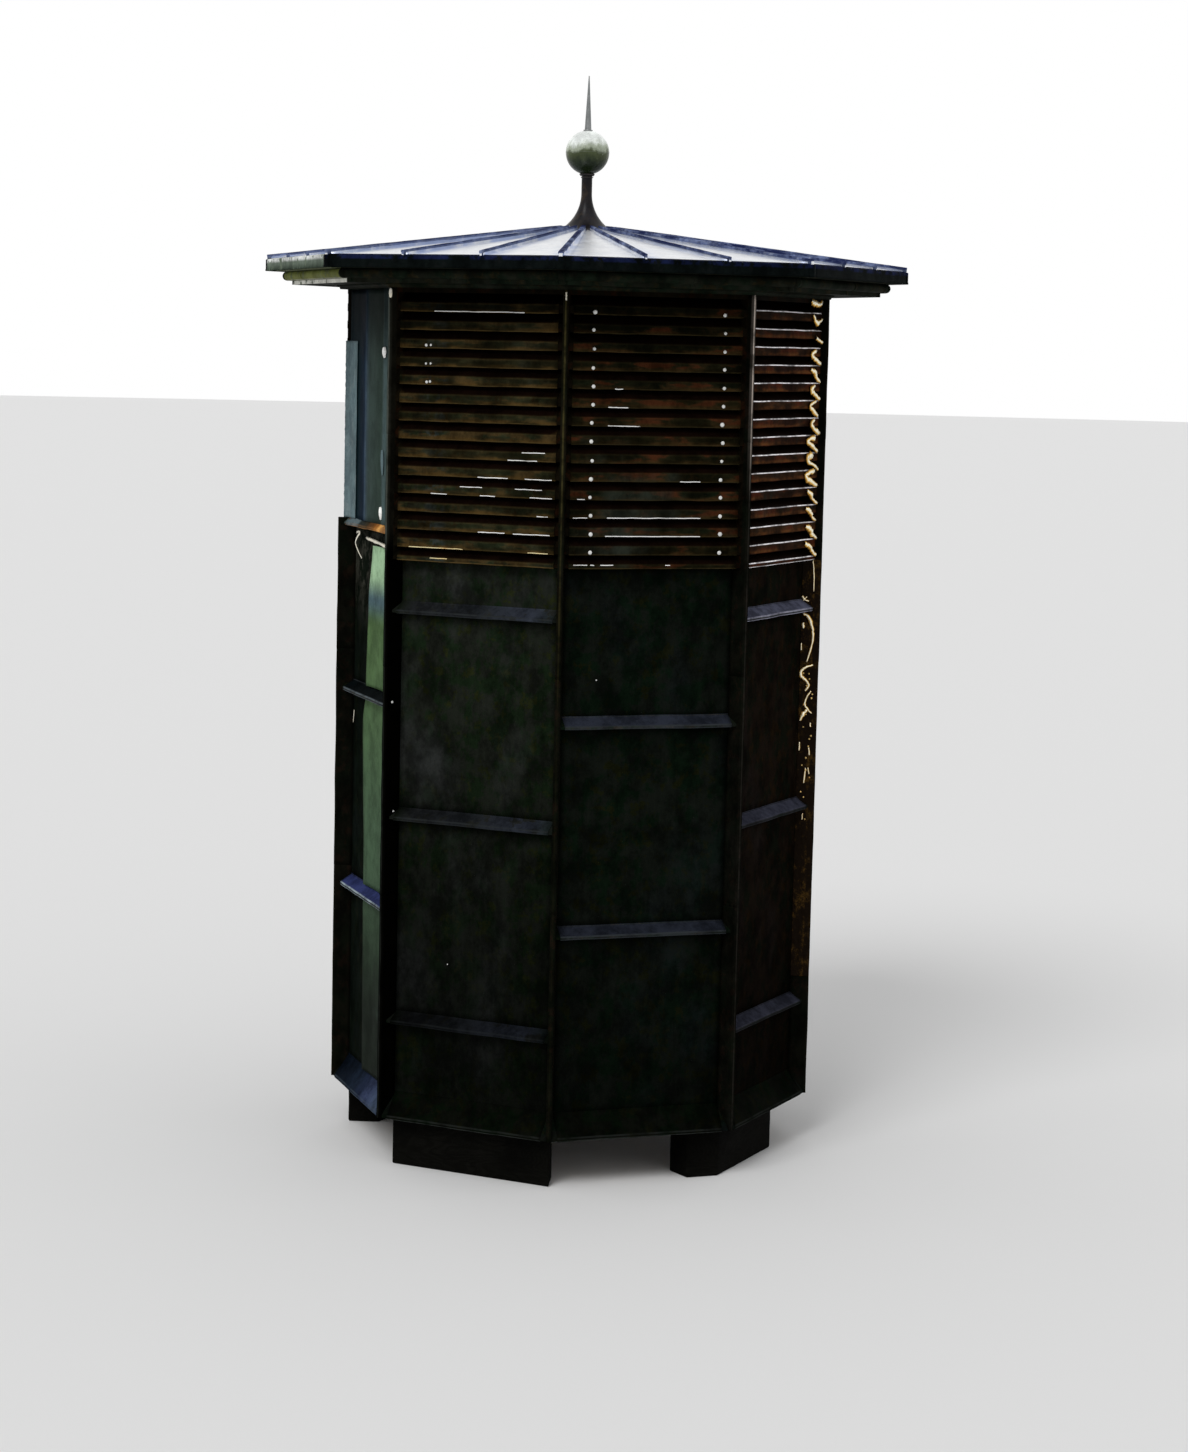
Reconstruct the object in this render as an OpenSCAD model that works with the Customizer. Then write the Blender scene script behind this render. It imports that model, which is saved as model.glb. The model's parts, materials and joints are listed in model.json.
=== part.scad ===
// Octagonal louvred cupola standing on timber plinth blocks, ready to be lifted onto a roof.
// The walls are boarded panels between corner posts, clad in copper with drip ribs,
// under a louvred lantern, a moulded cornice, a low seamed roof and a ball finial.
// Face 0 is the front and looks along -Y. Faces and corners count anticlockwise from above.

/* [Body] */
// Width of the boarded walls across the flats
wall_af = 1728; // [1500:2:2200]
// Height of the walls' lower edge above the ground
base_z = 200; // [120:5:400]
// Height of the panelled walls, from their lower edge to the lip of the sill
wall_h = 2267; // [1900:1:2900]
// Thickness of a boarded wall panel
wall_t = 30; // [20:1:45]

/* [Corners] */
// Thickness of a corner fin
fin_t = 18; // [12:1:30]
// How far a corner fin stands out from the walls' corner
fin_out = 65; // [62:1:90]
// Width of a corner post
post_w = 100; // [80:1:120]
// Depth of a corner post behind its front arris
post_d = 96; // [80:1:120]

/* [Unfinished face] */
// How much higher the wall panel stands there than on the other faces
extra_h = 95; // [20:1:150]
// How far the plain sheet stands out from the wall
sheet_out = 24; // [10:1:30]
// Thickness of the plain sheet
sheet_t = 4; // [3:0.5:8]
// Height of the apron under the plain sheet
apron_h = 26; // [15:1:40]
// Height of the apron's front edge
apron_lip = 6; // [4:1:12]
// How far the web that carries on up the unfinished corner stands out from the walls' corner
web_out = 8; // [4:1:20]
// Height of the pale strip on that corner
strip_h = 770; // [400:1:800]
// How far the pale strip stands out past the web
strip_out = 42; // [20:1:42]
// Thickness of the pale strip
strip_t = 10; // [6:1:12]

/* [Drip ribs] */
// Height of one sheet course, from rib to rib on one face
course_h = 827; // [700:1:900]
// Height of the lowest rib on the corner-cut faces above the walls' lower edge
first_rib = 389; // [300:1:420]
// How far a rib stands out from the wall
rib_out = 47; // [30:1:55]
// Height of a rib against the wall
rib_h = 40; // [25:1:60]
// Height of a rib's front edge
rib_lip = 10; // [5:1:15]
// How far the bottom flare stands out from the wall
flare_out = 62; // [40:1:62]
// Height of the bottom flare
flare_h = 92; // [60:1:120]
// How much higher the ribs sit on the unfinished face than its regular courses
unfinished_lift = 28; // [0:1:60]

/* [Louvres] */
// Height from one louvre's fold to the next
blade_pitch = 70.8; // [64:0.1:80]
// Number of louvres above the sill
blade_n = 14; // [10:1:16]
// How far the louvres' fronts stand out from the wall
lip_out = 47; // [30:1:52]
// Height of the sill's folded lip
lip_h = 12; // [8:1:14]
// Height of the apron that is folded down along the front of a louvre
apron_drop = 30; // [20:1:36]
// Depth of a louvre from its fold to its inner edge
blade_d = 45; // [40:1:60]
// How far a louvre's inner edge reaches up behind the apron above it
blade_lap = 8; // [2:1:14]
// Thickness of a louvre
blade_t = 3; // [2:0.5:5]
// Thickness of the stringers at a bay's ends
stringer_t = 4; // [3:0.5:6]

/* [Cornice] */
// Depth of the timber ring beams
ring_d = 90; // [60:1:120]
// Height of the bottom ring beam
sole_h = 60; // [45:1:90]
// How far the bed moulding stands out from the wall
bed_out = 84; // [72:1:100]
// Height of the bed moulding
bed_h = 20; // [14:1:30]
// Radius of the bed moulding's cove
cove_r = 12; // [8:1:14]
// Thickness of the soffit board
soffit_t = 18; // [12:1:25]
// How far the cornice moulding's fillet stands out from the wall
fillet_out = 254; // [200:1:275]
// How far the fillet drops below the soffit
fillet_drop = 6; // [0:1:10]
// Width of the cornice moulding's fillet
fillet_w = 22; // [14:1:30]
// Height of the fillet
fillet_h = 16; // [10:1:20]
// Radius of the round moulding
torus_r = 19; // [14:1:22]
// How far the corona stands out from the wall
corona_out = 324; // [310:1:326]
// Height of the corona's straight face
corona_h = 5; // [3:1:8]
// Radius of the cavetto under the eave
cavetto_r = 20; // [12:1:24]

/* [Roof] */
// How far the eave stands out from the wall
eave_out = 356; // [350:1:380]
// Height of the roof from its eave to the point where its faces would meet
roof_rise = 157; // [130:1:220]
// Thickness of the roof deck
deck_t = 22; // [16:1:30]
// Height of a standing seam
seam_h = 20; // [12:1:35]
// Width of a hip seam
hip_w = 14; // [10:1:24]
// Width of a seam between two sheets
seam_w = 8; // [5:1:14]
// How far a seam stops short of the eave's edge and of the flat under the finial
seam_end = 3; // [2:1:20]
// Number of sheets on one roof face
pans = 3; // [2:1:5]

/* [Finial] */
// Radius of the finial's foot
foot_r = 112; // [90:1:140]
// Width of the roof's flat top around the foot
cap_rim = 5; // [3:1:20]
// Thickness of the foot's edge
foot_t = 4; // [3:1:8]
// Radius of the finial's neck
neck_r = 22; // [16:1:28]
// Height of the finial's neck, from the foot to the ball
neck_h = 234; // [215:1:300]
// Height of the sweep from foot to neck
sweep_h = 150; // [110:1:180]
// Radius of the collar under the ball
collar_r = 29; // [29:1:34]
// Height of the collar under the ball
collar_h = 8; // [5:1:12]
// Radius of the flat on which the ball stands
ball_foot_r = 23; // [18:1:27]
// Radius of the ball
ball_r = 89; // [70:1:110]
// Height of the spike above the ball
spike_h = 222; // [150:1:300]
// Radius of the disc under the spike
disc_r = 18; // [17:1:24]
// Thickness of that disc
disc_t = 3; // [2:1:5]
// Radius of the spike's foot
spike_r = 14; // [8:1:16]
// Radius of the spike's tip
tip_r = 2; // [1:0.5:4]

/* [Plinth blocks] */
// Width of a plinth block from its outer to its inner face
block_w = 120; // [100:1:160]
// How far the block at the right front reaches past its corner along the front
block_front = 134; // [80:1:200]
// How far it reaches past its corner along the front right face
block_side = 534; // [400:1:560]

/* [Hidden] */
$fn = 96;

// Plan of the octagon: distances from the axis to a face's plane end in _a
half = 180 / 8;
wall_a = wall_af / 2;
inner_a = wall_a - wall_t;
lip_a = wall_a + lip_out;
fillet_a = wall_a + fillet_out;
torus_a = fillet_a + torus_r;
corona_a = wall_a + corona_out;
board_a = fillet_a - fillet_w;
eave_a = wall_a + eave_out;
wall_r = wall_a / cos(half);
fin_in = inner_a / cos(half) - fin_t / 2 * tan(half);
fin_tip = wall_r + fin_out;
web_r = wall_r + web_out;
reach = 2 * fin_tip;
cut = 1;
arc_steps = 8;
unfinished = 6;

// Heights
sill_z = base_z + wall_h;
panel_z = sill_z - lip_h;
blade_rise = blade_pitch - apron_drop + blade_lap;
head_z = sill_z + (blade_n + 1) * blade_pitch - lip_h;
soffit_z = head_z + bed_h;
torus_z = soffit_z - fillet_drop + fillet_h + torus_r;
corona_z = torus_z + torus_r;
cavetto_z = corona_z + corona_h;
slope = roof_rise / eave_a;
eave_z = cavetto_z + cavetto_r + deck_t - (eave_a - corona_a - cavetto_r) * slope;
apex_z = eave_z + roof_rise;
high_panel_z = panel_z + extra_h;
strip_z = high_panel_z + apron_h;

// Finial
cap_a = foot_r + cap_rim;
foot_z = apex_z - cap_a * slope;
sweep_r = (pow(foot_r - neck_r, 2) + pow(sweep_h, 2)) / (2 * (foot_r - neck_r));
ball_z = foot_z + neck_h + sqrt(ball_r * ball_r - ball_foot_r * ball_foot_r);
spike_z = ball_z + sqrt(ball_r * ball_r - disc_r * disc_r);

// Points of an arc round [x, y] with radius r, a quarter circle in arc_steps pieces
function arc(x, y, r, from, to) = let(n = ceil(abs(to - from) / 90 * arc_steps)) [
    for (i = [0:n]) [x + r * cos(from + (to - from) * i / n), y + r * sin(from + (to - from) * i / n)]
];

// Angle from the middle of face 0 of the point that lies the length s past corner 1, to its right on
// face 1 or, where s is less than 0, to its left on face 0
function face_angle(s) = let(side = wall_a * tan(half))
    s < 0 ? atan((side + s) / wall_a) : 2 * half + atan((s - side) / wall_a);

// Height of the roof's surface at the distance a from the axis, square to a face
function roof_z(a) = apex_z - a * slope;
function under_z(a) = roof_z(a) - deck_t;

// Heights of the drip ribs of face n: the ribs of neighbouring faces are staggered by half a course
function rib_heights(n) = let(lift = n == unfinished ? unfinished_lift : 0) [
    for (z = [first_rib + (n % 2 == 0 ? course_h / 2 : 0) : course_h : wall_h - lip_h - 2 * rib_h])
        base_z + z + lift
];

module at_face(n) rotate([0, 0, 2 * half * n]) children();
module at_corner(k) rotate([0, 0, 2 * half * k - half]) children();

// Runs a profile along face 0: its x is the distance from the axis, its y the height
module along_face() rotate([90, 0, -90]) linear_extrude(reach, center = true) children();

// Stands a profile in the vertical plane through -Y, t thick: its x is the distance from the axis
module across(t) rotate([90, 0, -90]) linear_extrude(t, center = true) children();

// The space in front of face 0 between the planes of its two corners, gap clear of each
module bay(z0, z1, gap) {
    far = reach * tan(half) - gap / cos(half);
    translate([0, 0, z0]) linear_extrude(z1 - z0)
        polygon([[0, -gap / sin(half)], [far, -reach], [-far, -reach]]);
}

// An octagonal solid with the same outline on its eight sides. The points give half of the outline,
// upwards, each as [distance from the axis, height]
module eight_sided(points) {
    other = [for (i = [len(points) - 1:-1:0]) [-points[i].x, points[i].y]];
    intersection_for(n = [0:3]) at_face(n)
        rotate([90, 0, -90]) linear_extrude(4 * eave_a, center = true) polygon(concat(points, other));
}

module octagon(a) rotate(half) circle(a / cos(half), $fn = 8);

// A hollow ring: the same, with an octagonal well of inner distance a through it
module ring(points, a) {
    difference() {
        eight_sided(points);
        translate([0, 0, points[0].y - cut]) linear_extrude(apex_z - points[0].y + cut) octagon(a);
    }
}

module plinth_block(from, to) {
    color("#2e2620") intersection() {
        linear_extrude(base_z) difference() {
            octagon(wall_a);
            octagon(wall_a - block_w);
        }
        linear_extrude(base_z) polygon([
            [0, 0],
            reach * [sin(from), -cos(from)],
            reach * [sin((from + to) / 2), -cos((from + to) / 2)],
            reach * [sin(to), -cos(to)]
        ]);
    }
}

module sole_ring() {
    color("#6b5335") translate([0, 0, base_z]) linear_extrude(sole_h) difference() {
        intersection() {
            octagon(inner_a);
            rotate(half) octagon(fin_in);
        }
        octagon(inner_a - ring_d);
    }
}

module post(k) {
    shoulder = (inner_a - post_w / 2 * sin(half)) / cos(half);
    color("#7a6040") at_corner(k) translate([0, 0, base_z + sole_h]) linear_extrude(head_z - base_z - sole_h)
        polygon([
            [-post_w / 2, post_d - fin_in], [post_w / 2, post_d - fin_in],
            [post_w / 2, -shoulder], [fin_t / 2, -fin_in],
            [-fin_t / 2, -fin_in], [-post_w / 2, -shoulder]
        ]);
}

module fin(k) {
    color("#4a3a2c") at_corner(k) across(fin_t)
        translate([fin_in, base_z]) square([fin_tip - fin_in, head_z - base_z]);
}

// The unfinished corner's fin stops above the sill and only its web goes on
module short_fin(k) {
    color("#4a3a2c") at_corner(k) across(fin_t) union() {
        translate([fin_in, base_z]) square([fin_tip - fin_in, strip_z - base_z]);
        translate([fin_in, base_z]) square([web_r - fin_in, head_z - base_z]);
    }
}

module edge_strip(k) {
    color("#b9c4c6") at_corner(k) across(strip_t)
        translate([web_r, strip_z]) square([strip_out, strip_h]);
}

module rib_profile(z) {
    polygon([
        [wall_a - wall_t / 2, z], [wall_a + rib_out, z], [wall_a + rib_out, z + rib_lip],
        [wall_a, z + rib_h], [wall_a - wall_t / 2, z + rib_h]
    ]);
}

module flare_profile() {
    polygon([
        [wall_a - wall_t / 2, base_z], [wall_a + flare_out, base_z], [wall_a + flare_out, base_z + rib_lip],
        [wall_a, base_z + flare_h], [wall_a - wall_t / 2, base_z + flare_h]
    ]);
}

module wall(n) {
    top = n == unfinished ? high_panel_z : panel_z;
    color("#33352b") at_face(n) intersection() {
        along_face() union() {
            translate([inner_a, base_z]) square([wall_t, top - base_z]);
            for (z = rib_heights(n)) rib_profile(z);
            flare_profile();
        }
        bay(base_z, top, fin_t / 2);
    }
}

module sill_profile() {
    polygon([
        [inner_a, panel_z], [lip_a, panel_z], [lip_a, sill_z],
        [lip_a - blade_d, sill_z + blade_rise], [inner_a, sill_z + blade_rise]
    ]);
}

module blade_profile(z) {
    drop = blade_t / cos(atan(blade_rise / blade_d));
    polygon([
        [lip_a - blade_t, z - apron_drop], [lip_a, z - apron_drop], [lip_a, z],
        [lip_a - blade_d, z + blade_rise], [lip_a - blade_d, z + blade_rise - drop],
        [lip_a - blade_t, z + blade_rise * blade_t / blade_d - drop]
    ]);
}

// One bay of louvres: the sill and the blades run between two stringers against the fins, and the
// apron of one more blade closes the gap under the head
module louvres(n) {
    stringer_d = blade_d - blade_t / 2;
    color("#5a4029") at_face(n) {
        intersection() {
            along_face() union() {
                sill_profile();
                for (i = [1:blade_n + 1]) blade_profile(sill_z + i * blade_pitch);
            }
            bay(panel_z, head_z, fin_t / 2);
        }
        intersection() {
            along_face() translate([lip_a - blade_d, sill_z]) square([stringer_d, head_z - sill_z]);
            difference() {
                bay(panel_z, head_z, fin_t / 2);
                bay(panel_z - cut, head_z + cut, fin_t / 2 + stringer_t);
            }
        }
    }
}

// The unfinished bay: an apron on the higher panel, and a plain sheet above it
module blank_sheet(n) {
    sheet_a = wall_a + sheet_out;
    color("#8a9790") at_face(n) intersection() {
        along_face() union() {
            polygon([
                [inner_a, high_panel_z], [lip_a, high_panel_z], [lip_a, high_panel_z + apron_lip],
                [sheet_a + sheet_t, high_panel_z + apron_h], [inner_a, high_panel_z + apron_h]
            ]);
            translate([sheet_a, high_panel_z]) square([sheet_t, head_z - high_panel_z]);
        }
        bay(high_panel_z, head_z, fin_t / 2);
    }
}

module head_ring() {
    color("#7a6040") ring([
        [wall_a, head_z], [wall_a, under_z(wall_a)], [cap_a, under_z(cap_a)]
    ], wall_a - ring_d);
}

module soffit() {
    bed_a = wall_a + bed_out;
    color("#2c2a22") ring(concat(
        arc(bed_a, head_z, cove_r, 180, 90),
        [[bed_a, soffit_z], [board_a, soffit_z], [board_a, soffit_z + soffit_t]]
    ), wall_a);
}

module cornice() {
    color("#3a3226") ring(concat(
        [[fillet_a, soffit_z - fillet_drop], [fillet_a, torus_z - torus_r]],
        arc(torus_a, torus_z, torus_r, -90, 90),
        [[corona_a, corona_z]],
        arc(corona_a + cavetto_r, cavetto_z, cavetto_r, 180, 90),
        [[cap_a, under_z(cap_a)]]
    ), board_a);
}

// A seam up the roof at the angle turn from the middle of face 0
module seam(turn, w) {
    fall = slope * cos(turn);
    root = deck_t / 3;
    r0 = cap_a / cos(turn) + seam_end;
    r1 = eave_a / cos(turn) - seam_end;
    rotate([0, 0, turn]) across(w) polygon([
        [r0, apex_z - r0 * fall - root], [r1, apex_z - r1 * fall - root],
        [r1, apex_z - r1 * fall + seam_h], [r0, apex_z - r0 * fall + seam_h]
    ]);
}

module roof() {
    past_a = eave_a + deck_t;
    color("#8d96a0") union() {
        difference() {
            eight_sided([[eave_a, eave_z - 2 * deck_t], [eave_a, eave_z], [cap_a, foot_z]]);
            eight_sided([
                [past_a, eave_z - 3 * deck_t], [past_a, under_z(past_a)], [cap_a, under_z(cap_a)]
            ]);
        }
        for (n = [0:7]) at_face(n) {
            seam(half, hip_w);
            for (j = [1:pans - 1]) seam(atan((2 * j / pans - 1) * tan(half)), seam_w);
        }
    }
}

module finial_foot() {
    color("#3b3128") translate([0, 0, foot_z]) rotate_extrude() union() {
        difference() {
            square([foot_r, foot_t + sweep_h]);
            translate([neck_r + sweep_r, foot_t + sweep_h]) circle(sweep_r);
        }
        square([neck_r, neck_h]);
        translate([0, neck_h - collar_h]) square([collar_r, collar_h]);
    }
}

module finial_ball() {
    low = ball_z - foot_z - neck_h;
    high = spike_z - ball_z;
    color("#9aa08c") translate([0, 0, ball_z]) intersection() {
        sphere(ball_r);
        translate([0, 0, -low]) cylinder(h = low + high, r = 2 * ball_r);
    }
}

module finial_spike() {
    color("#8f938f") translate([0, 0, spike_z]) {
        cylinder(h = disc_t, r = disc_r);
        translate([0, 0, disc_t / 2]) cylinder(h = spike_h - disc_t / 2, r1 = spike_r, r2 = tip_r);
    }
}

plinth_block(-3 * half, -half);  // block_front_left
plinth_block(face_angle(-block_front), face_angle(block_side));  // block_front_right
plinth_block(5 * half, 7 * half);  // block_back_right
plinth_block(9 * half, 11 * half);  // block_back_left
sole_ring();
post(1);  // post_1
post(2);  // post_2
post(3);  // post_3
post(4);  // post_4
post(5);  // post_5
post(6);  // post_6
post(7);  // post_7
post(8);  // post_8
fin(1);  // fin_1
fin(2);  // fin_2
fin(3);  // fin_3
fin(4);  // fin_4
fin(5);  // fin_5
short_fin(6);  // fin_6
fin(7);  // fin_7
fin(8);  // fin_8
edge_strip(6);
wall(0);  // wall_front
wall(1);  // wall_front_right
wall(2);  // wall_right
wall(3);  // wall_back_right
wall(4);  // wall_back
wall(5);  // wall_back_left
wall(6);  // wall_left
wall(7);  // wall_front_left
louvres(0);  // louvres_front
louvres(1);  // louvres_front_right
louvres(2);  // louvres_right
louvres(3);  // louvres_back_right
louvres(4);  // louvres_back
louvres(5);  // louvres_back_left
louvres(7);  // louvres_front_left
blank_sheet(6);
head_ring();
soffit();
cornice();
roof();
finial_foot();
finial_ball();
finial_spike();
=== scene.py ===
"""Octagonal louvred cupola on timber plinth blocks: its sheet metal, folds, seams, grain and finishes."""
import json
import math
import random
import bmesh
import bpy
from mathutils import Matrix, Vector, noise


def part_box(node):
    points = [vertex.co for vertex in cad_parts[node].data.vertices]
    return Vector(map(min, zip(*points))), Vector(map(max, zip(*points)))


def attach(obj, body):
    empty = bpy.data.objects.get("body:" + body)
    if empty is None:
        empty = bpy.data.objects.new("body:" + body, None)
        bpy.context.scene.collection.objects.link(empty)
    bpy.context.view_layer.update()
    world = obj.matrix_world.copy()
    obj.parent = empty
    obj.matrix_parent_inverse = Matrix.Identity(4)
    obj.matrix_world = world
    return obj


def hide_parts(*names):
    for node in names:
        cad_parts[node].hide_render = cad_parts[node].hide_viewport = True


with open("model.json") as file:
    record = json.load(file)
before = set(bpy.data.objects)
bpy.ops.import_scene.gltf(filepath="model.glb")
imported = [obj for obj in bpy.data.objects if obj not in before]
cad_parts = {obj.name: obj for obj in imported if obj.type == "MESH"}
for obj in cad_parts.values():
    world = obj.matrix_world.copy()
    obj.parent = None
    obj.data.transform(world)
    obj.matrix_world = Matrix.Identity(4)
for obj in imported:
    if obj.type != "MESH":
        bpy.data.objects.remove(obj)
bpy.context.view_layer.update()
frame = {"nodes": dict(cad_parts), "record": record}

# Sizes in metres, as the frame has them
HALF = math.radians(22.5)
FACES = ["front", "front_right", "right", "back_right", "back", "back_left", "left", "front_left"]
FRONT, FRONT_RIGHT, LEFT, FRONT_LEFT = 0, 1, 6, 7
LOUVRED = [n for n in range(8) if n != LEFT]
WALL_T = 0.030
WALL_A = -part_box("wall_front")[1].y + WALL_T
BASE_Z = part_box("wall_front")[0].z
SILL_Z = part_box("louvres_front")[0].z + 0.012
HEAD_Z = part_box("head_ring")[0].z
PANEL_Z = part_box("wall_front")[1].z
HIGH_PANEL_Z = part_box("wall_left")[1].z
FIN_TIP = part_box("fin_3")[1].to_2d().length
FIN_T = 0.018
RIB_OUT = 0.047
RIB_H = 0.040
RIB_LIP = 0.010
LEFT_LIFT = 0.028
FLARE_OUT = -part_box("wall_front")[0].y - WALL_A
FLARE_H = 0.092
COURSE_H = 0.827
FIRST_RIB = 0.389
LIP_OUT = -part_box("louvres_front")[0].y - WALL_A
LIP_H = 0.012
BLADE_PITCH = 0.0708
BLADES = 14
BLADE_D = 0.045
BLADE_APRON = 0.030
BLADE_RISE = BLADE_PITCH - BLADE_APRON + 0.008
SHEET_OUT = 0.028
APRON_H = 0.026
WEB_OUT = 0.008
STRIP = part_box("edge_strip")
STRIP_WIDE = 0.042
STRIP_T = 0.010
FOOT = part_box("finial_foot")
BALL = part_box("finial_ball")
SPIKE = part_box("finial_spike")
FOOT_R = FOOT[1].x
EAVE_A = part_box("roof")[1].x
ROOF_RISE = 0.157
SLOPE = ROOF_RISE / EAVE_A
CAP_A = FOOT_R + 0.005
APEX_Z = FOOT[0].z + CAP_A * SLOPE
EAVE_Z = APEX_Z - ROOF_RISE
SKIRT_H = 0.044
SOFFIT_Z = HEAD_Z + 0.020
BED_A = WALL_A + 0.084
FILLET_A = WALL_A + 0.254
FILLET_DROP = 0.006
FILLET_H = 0.016
FILLET_W = 0.022
TORUS_R = 0.019
CORONA_A = WALL_A + 0.324
CORONA_H = 0.005
CAVETTO_R = 0.020
SEAM_H = 0.020
SEAM_W = 0.008
HIP_W = 0.014
PANS = 3

# How sheet metal lies on what it covers: how far in front, how thick, and how far short of the
# corners' planes
PROUD = 0.0012
SHEET_T = 0.0008
SHEET_GAP = 0.0105
FIN_SIDE = FIN_T / 2 + PROUD
LIP_FRONT = LIP_OUT + PROUD

# The camera, in metres and radians, with its focal length in pixels of the picture
PICTURE_H = 1452
CAMERA_AZIMUTH = math.radians(-18.5446)
CAMERA_DISTANCE = 13.0673
CAMERA_HEIGHT = 3.3044
CAMERA_YAW = -0.006089
CAMERA_PITCH = 0.119982
CAMERA_ROLL = 0.022635
CAMERA_FOCAL = 3145.24


def steps(a, b, n):
    """n + 1 evenly spaced values from a to b."""
    return [a + (b - a) * i / n for i in range(n + 1)]


def circle(r, z, n):
    """n points round the axis."""
    return [Vector((r * math.cos(t), r * math.sin(t), z)) for t in steps(0, 2 * math.pi, n)[:-1]]


def place(n, across, out, z):
    """A point by face n: across to the right of its middle, out from the axis, and up."""
    turn = 2 * HALF * n
    x = across * math.cos(turn) + out * math.sin(turn)
    y = across * math.sin(turn) - out * math.cos(turn)
    return Vector((x, y, z))


def at_corner(k, side, out, z):
    """A point by corner k: side to the right of its radial plane, out from the axis, and up."""
    return place(k - 0.5, side, out, z)


def outward(n):
    """The way face n looks."""
    return place(n, 0.0, 1.0, 0.0)


def half_width(out):
    """Half the width of a face's sheets at the distance out from the axis."""
    return out * math.tan(HALF) - SHEET_GAP / math.cos(HALF)


def blade_z(blade):
    """Height of a louvre's fold; blade 0 is the sill."""
    return SILL_Z + blade * BLADE_PITCH


def wave(x, y, z):
    """Smooth noise, from about -1 to 1."""
    return noise.noise(Vector((x, y, z)))


def grid(levels, columns, point):
    """Rows of points: point(level, column) for each column of each level."""
    return [[point(level, column) for column in columns] for level in levels]


def rib_heights(n):
    """Heights of a face's drip ribs: neighbouring faces are staggered by half a course."""
    z = FIRST_RIB + (COURSE_H / 2 if n % 2 == 0 else 0)
    heights = []
    while z < PANEL_Z - BASE_Z - 2 * RIB_H:
        heights.append(BASE_Z + z + (LEFT_LIFT if n == LEFT else 0))
        z += COURSE_H
    return heights


class Bench:
    """Puts nodes into one tree and wires them."""

    def __init__(self, tree):
        self.tree = tree

    def plug(self, socket, value):
        """Links or sets a socket; a colour is three numbers, in thousandths."""
        if isinstance(value, bpy.types.NodeSocket):
            self.tree.links.new(value, socket)
        elif socket.type == "RGBA":
            socket.default_value = (*[part / 1000 for part in value], 1.0)
        else:
            socket.default_value = value

    def put(self, kind, sockets=None, **settings):
        """The outputs of a new node."""
        made = self.tree.nodes.new(kind)
        for key, value in settings.items():
            setattr(made, key, value)
        for key, value in (sockets or {}).items():
            self.plug(made.inputs[key], value)
        return made.outputs

    def math(self, operation, a, b=0.0, c=0.0, clamp=False):
        return self.put("ShaderNodeMath", {0: a, 1: b, 2: c}, operation=operation, use_clamp=clamp)[0]

    def times(self, a, b, clamp=False):
        return self.math("MULTIPLY", a, b, clamp=clamp)

    def line(self, a, b, c, clamp=False):
        """a times b plus c."""
        return self.math("MULTIPLY_ADD", a, b, c, clamp)

    def ramp(self, value, low, high):
        """0 below low, 1 above high, smooth between."""
        sockets = {0: value, 1: low, 2: high}
        return self.put("ShaderNodeMapRange", sockets, interpolation_type="SMOOTHSTEP")[0]

    def mix(self, factor, a, b):
        """Mixes two colours."""
        return self.put("ShaderNodeMix", {0: factor, 6: a, 7: b}, data_type="RGBA")[2]

    def stops(self, value, places):
        """A colour that changes along value: places are (value, colour) in rising order."""
        tone = places[0][1]
        for (low, before), (high, after) in zip(places, places[1:]):
            tone = self.mix(self.ramp(value, low, high), tone, after)
        return tone

    def scaled(self, colour, factor):
        return self.put("ShaderNodeVectorMath", {0: colour, "Scale": factor}, operation="SCALE")[0]

    def noise(self, spot, scale, detail=4.0, rough=0.55, stretch=(1.0, 1.0, 1.0), shift=(0.0, 0.0, 0.0)):
        spread = self.put("ShaderNodeMapping", {"Vector": spot, "Location": shift, "Scale": stretch})[0]
        sockets = {"Vector": spread, "Scale": scale, "Detail": detail, "Roughness": rough}
        return self.put("ShaderNodeTexNoise", sockets)["Fac"]

    def spot(self):
        return self.put("ShaderNodeTexCoord")["Object"]

    def wear_and_light(self):
        """The wear, painted highlight or painted shade that a sheet's own points carry."""
        return self.put("ShaderNodeAttribute", attribute_name="wear_and_light")["Fac"]

    def group(self, tree, sockets=None):
        return self.put("ShaderNodeGroup", sockets, node_tree=tree)

    def shade(self, height, strength, distance, values):
        """Ends a material: its shader with these values, and a bump."""
        sockets = {"Height": height, "Strength": strength, "Distance": distance}
        bump = self.put("ShaderNodeBump", sockets)[0]
        shader = self.put("ShaderNodeBsdfPrincipled", {**values, "Normal": bump})[0]
        self.put("ShaderNodeOutputMaterial", {"Surface": shader})


FLOAT = "NodeSocketFloat"
GEOMETRY = "NodeSocketGeometry"


def make_group(name, wiring, inputs, kind="ShaderNodeTree", gives=FLOAT):
    """A node group with (label, kind, value) inputs; wiring says what comes out under which label."""
    tree = bpy.data.node_groups.new(name, kind)
    for label, socket_kind, value in inputs:
        socket = tree.interface.new_socket(label, in_out="INPUT", socket_type=socket_kind)
        if value is not None:
            socket.default_value = value
    bench = Bench(tree)
    results = wiring(bench, bench.put("NodeGroupInput"))
    for label in results:
        tree.interface.new_socket(label, in_out="OUTPUT", socket_type=gives)
    ends = tree.nodes.new("NodeGroupOutput").inputs
    for label, value in results.items():
        bench.plug(ends[label], value)
    return tree


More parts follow.
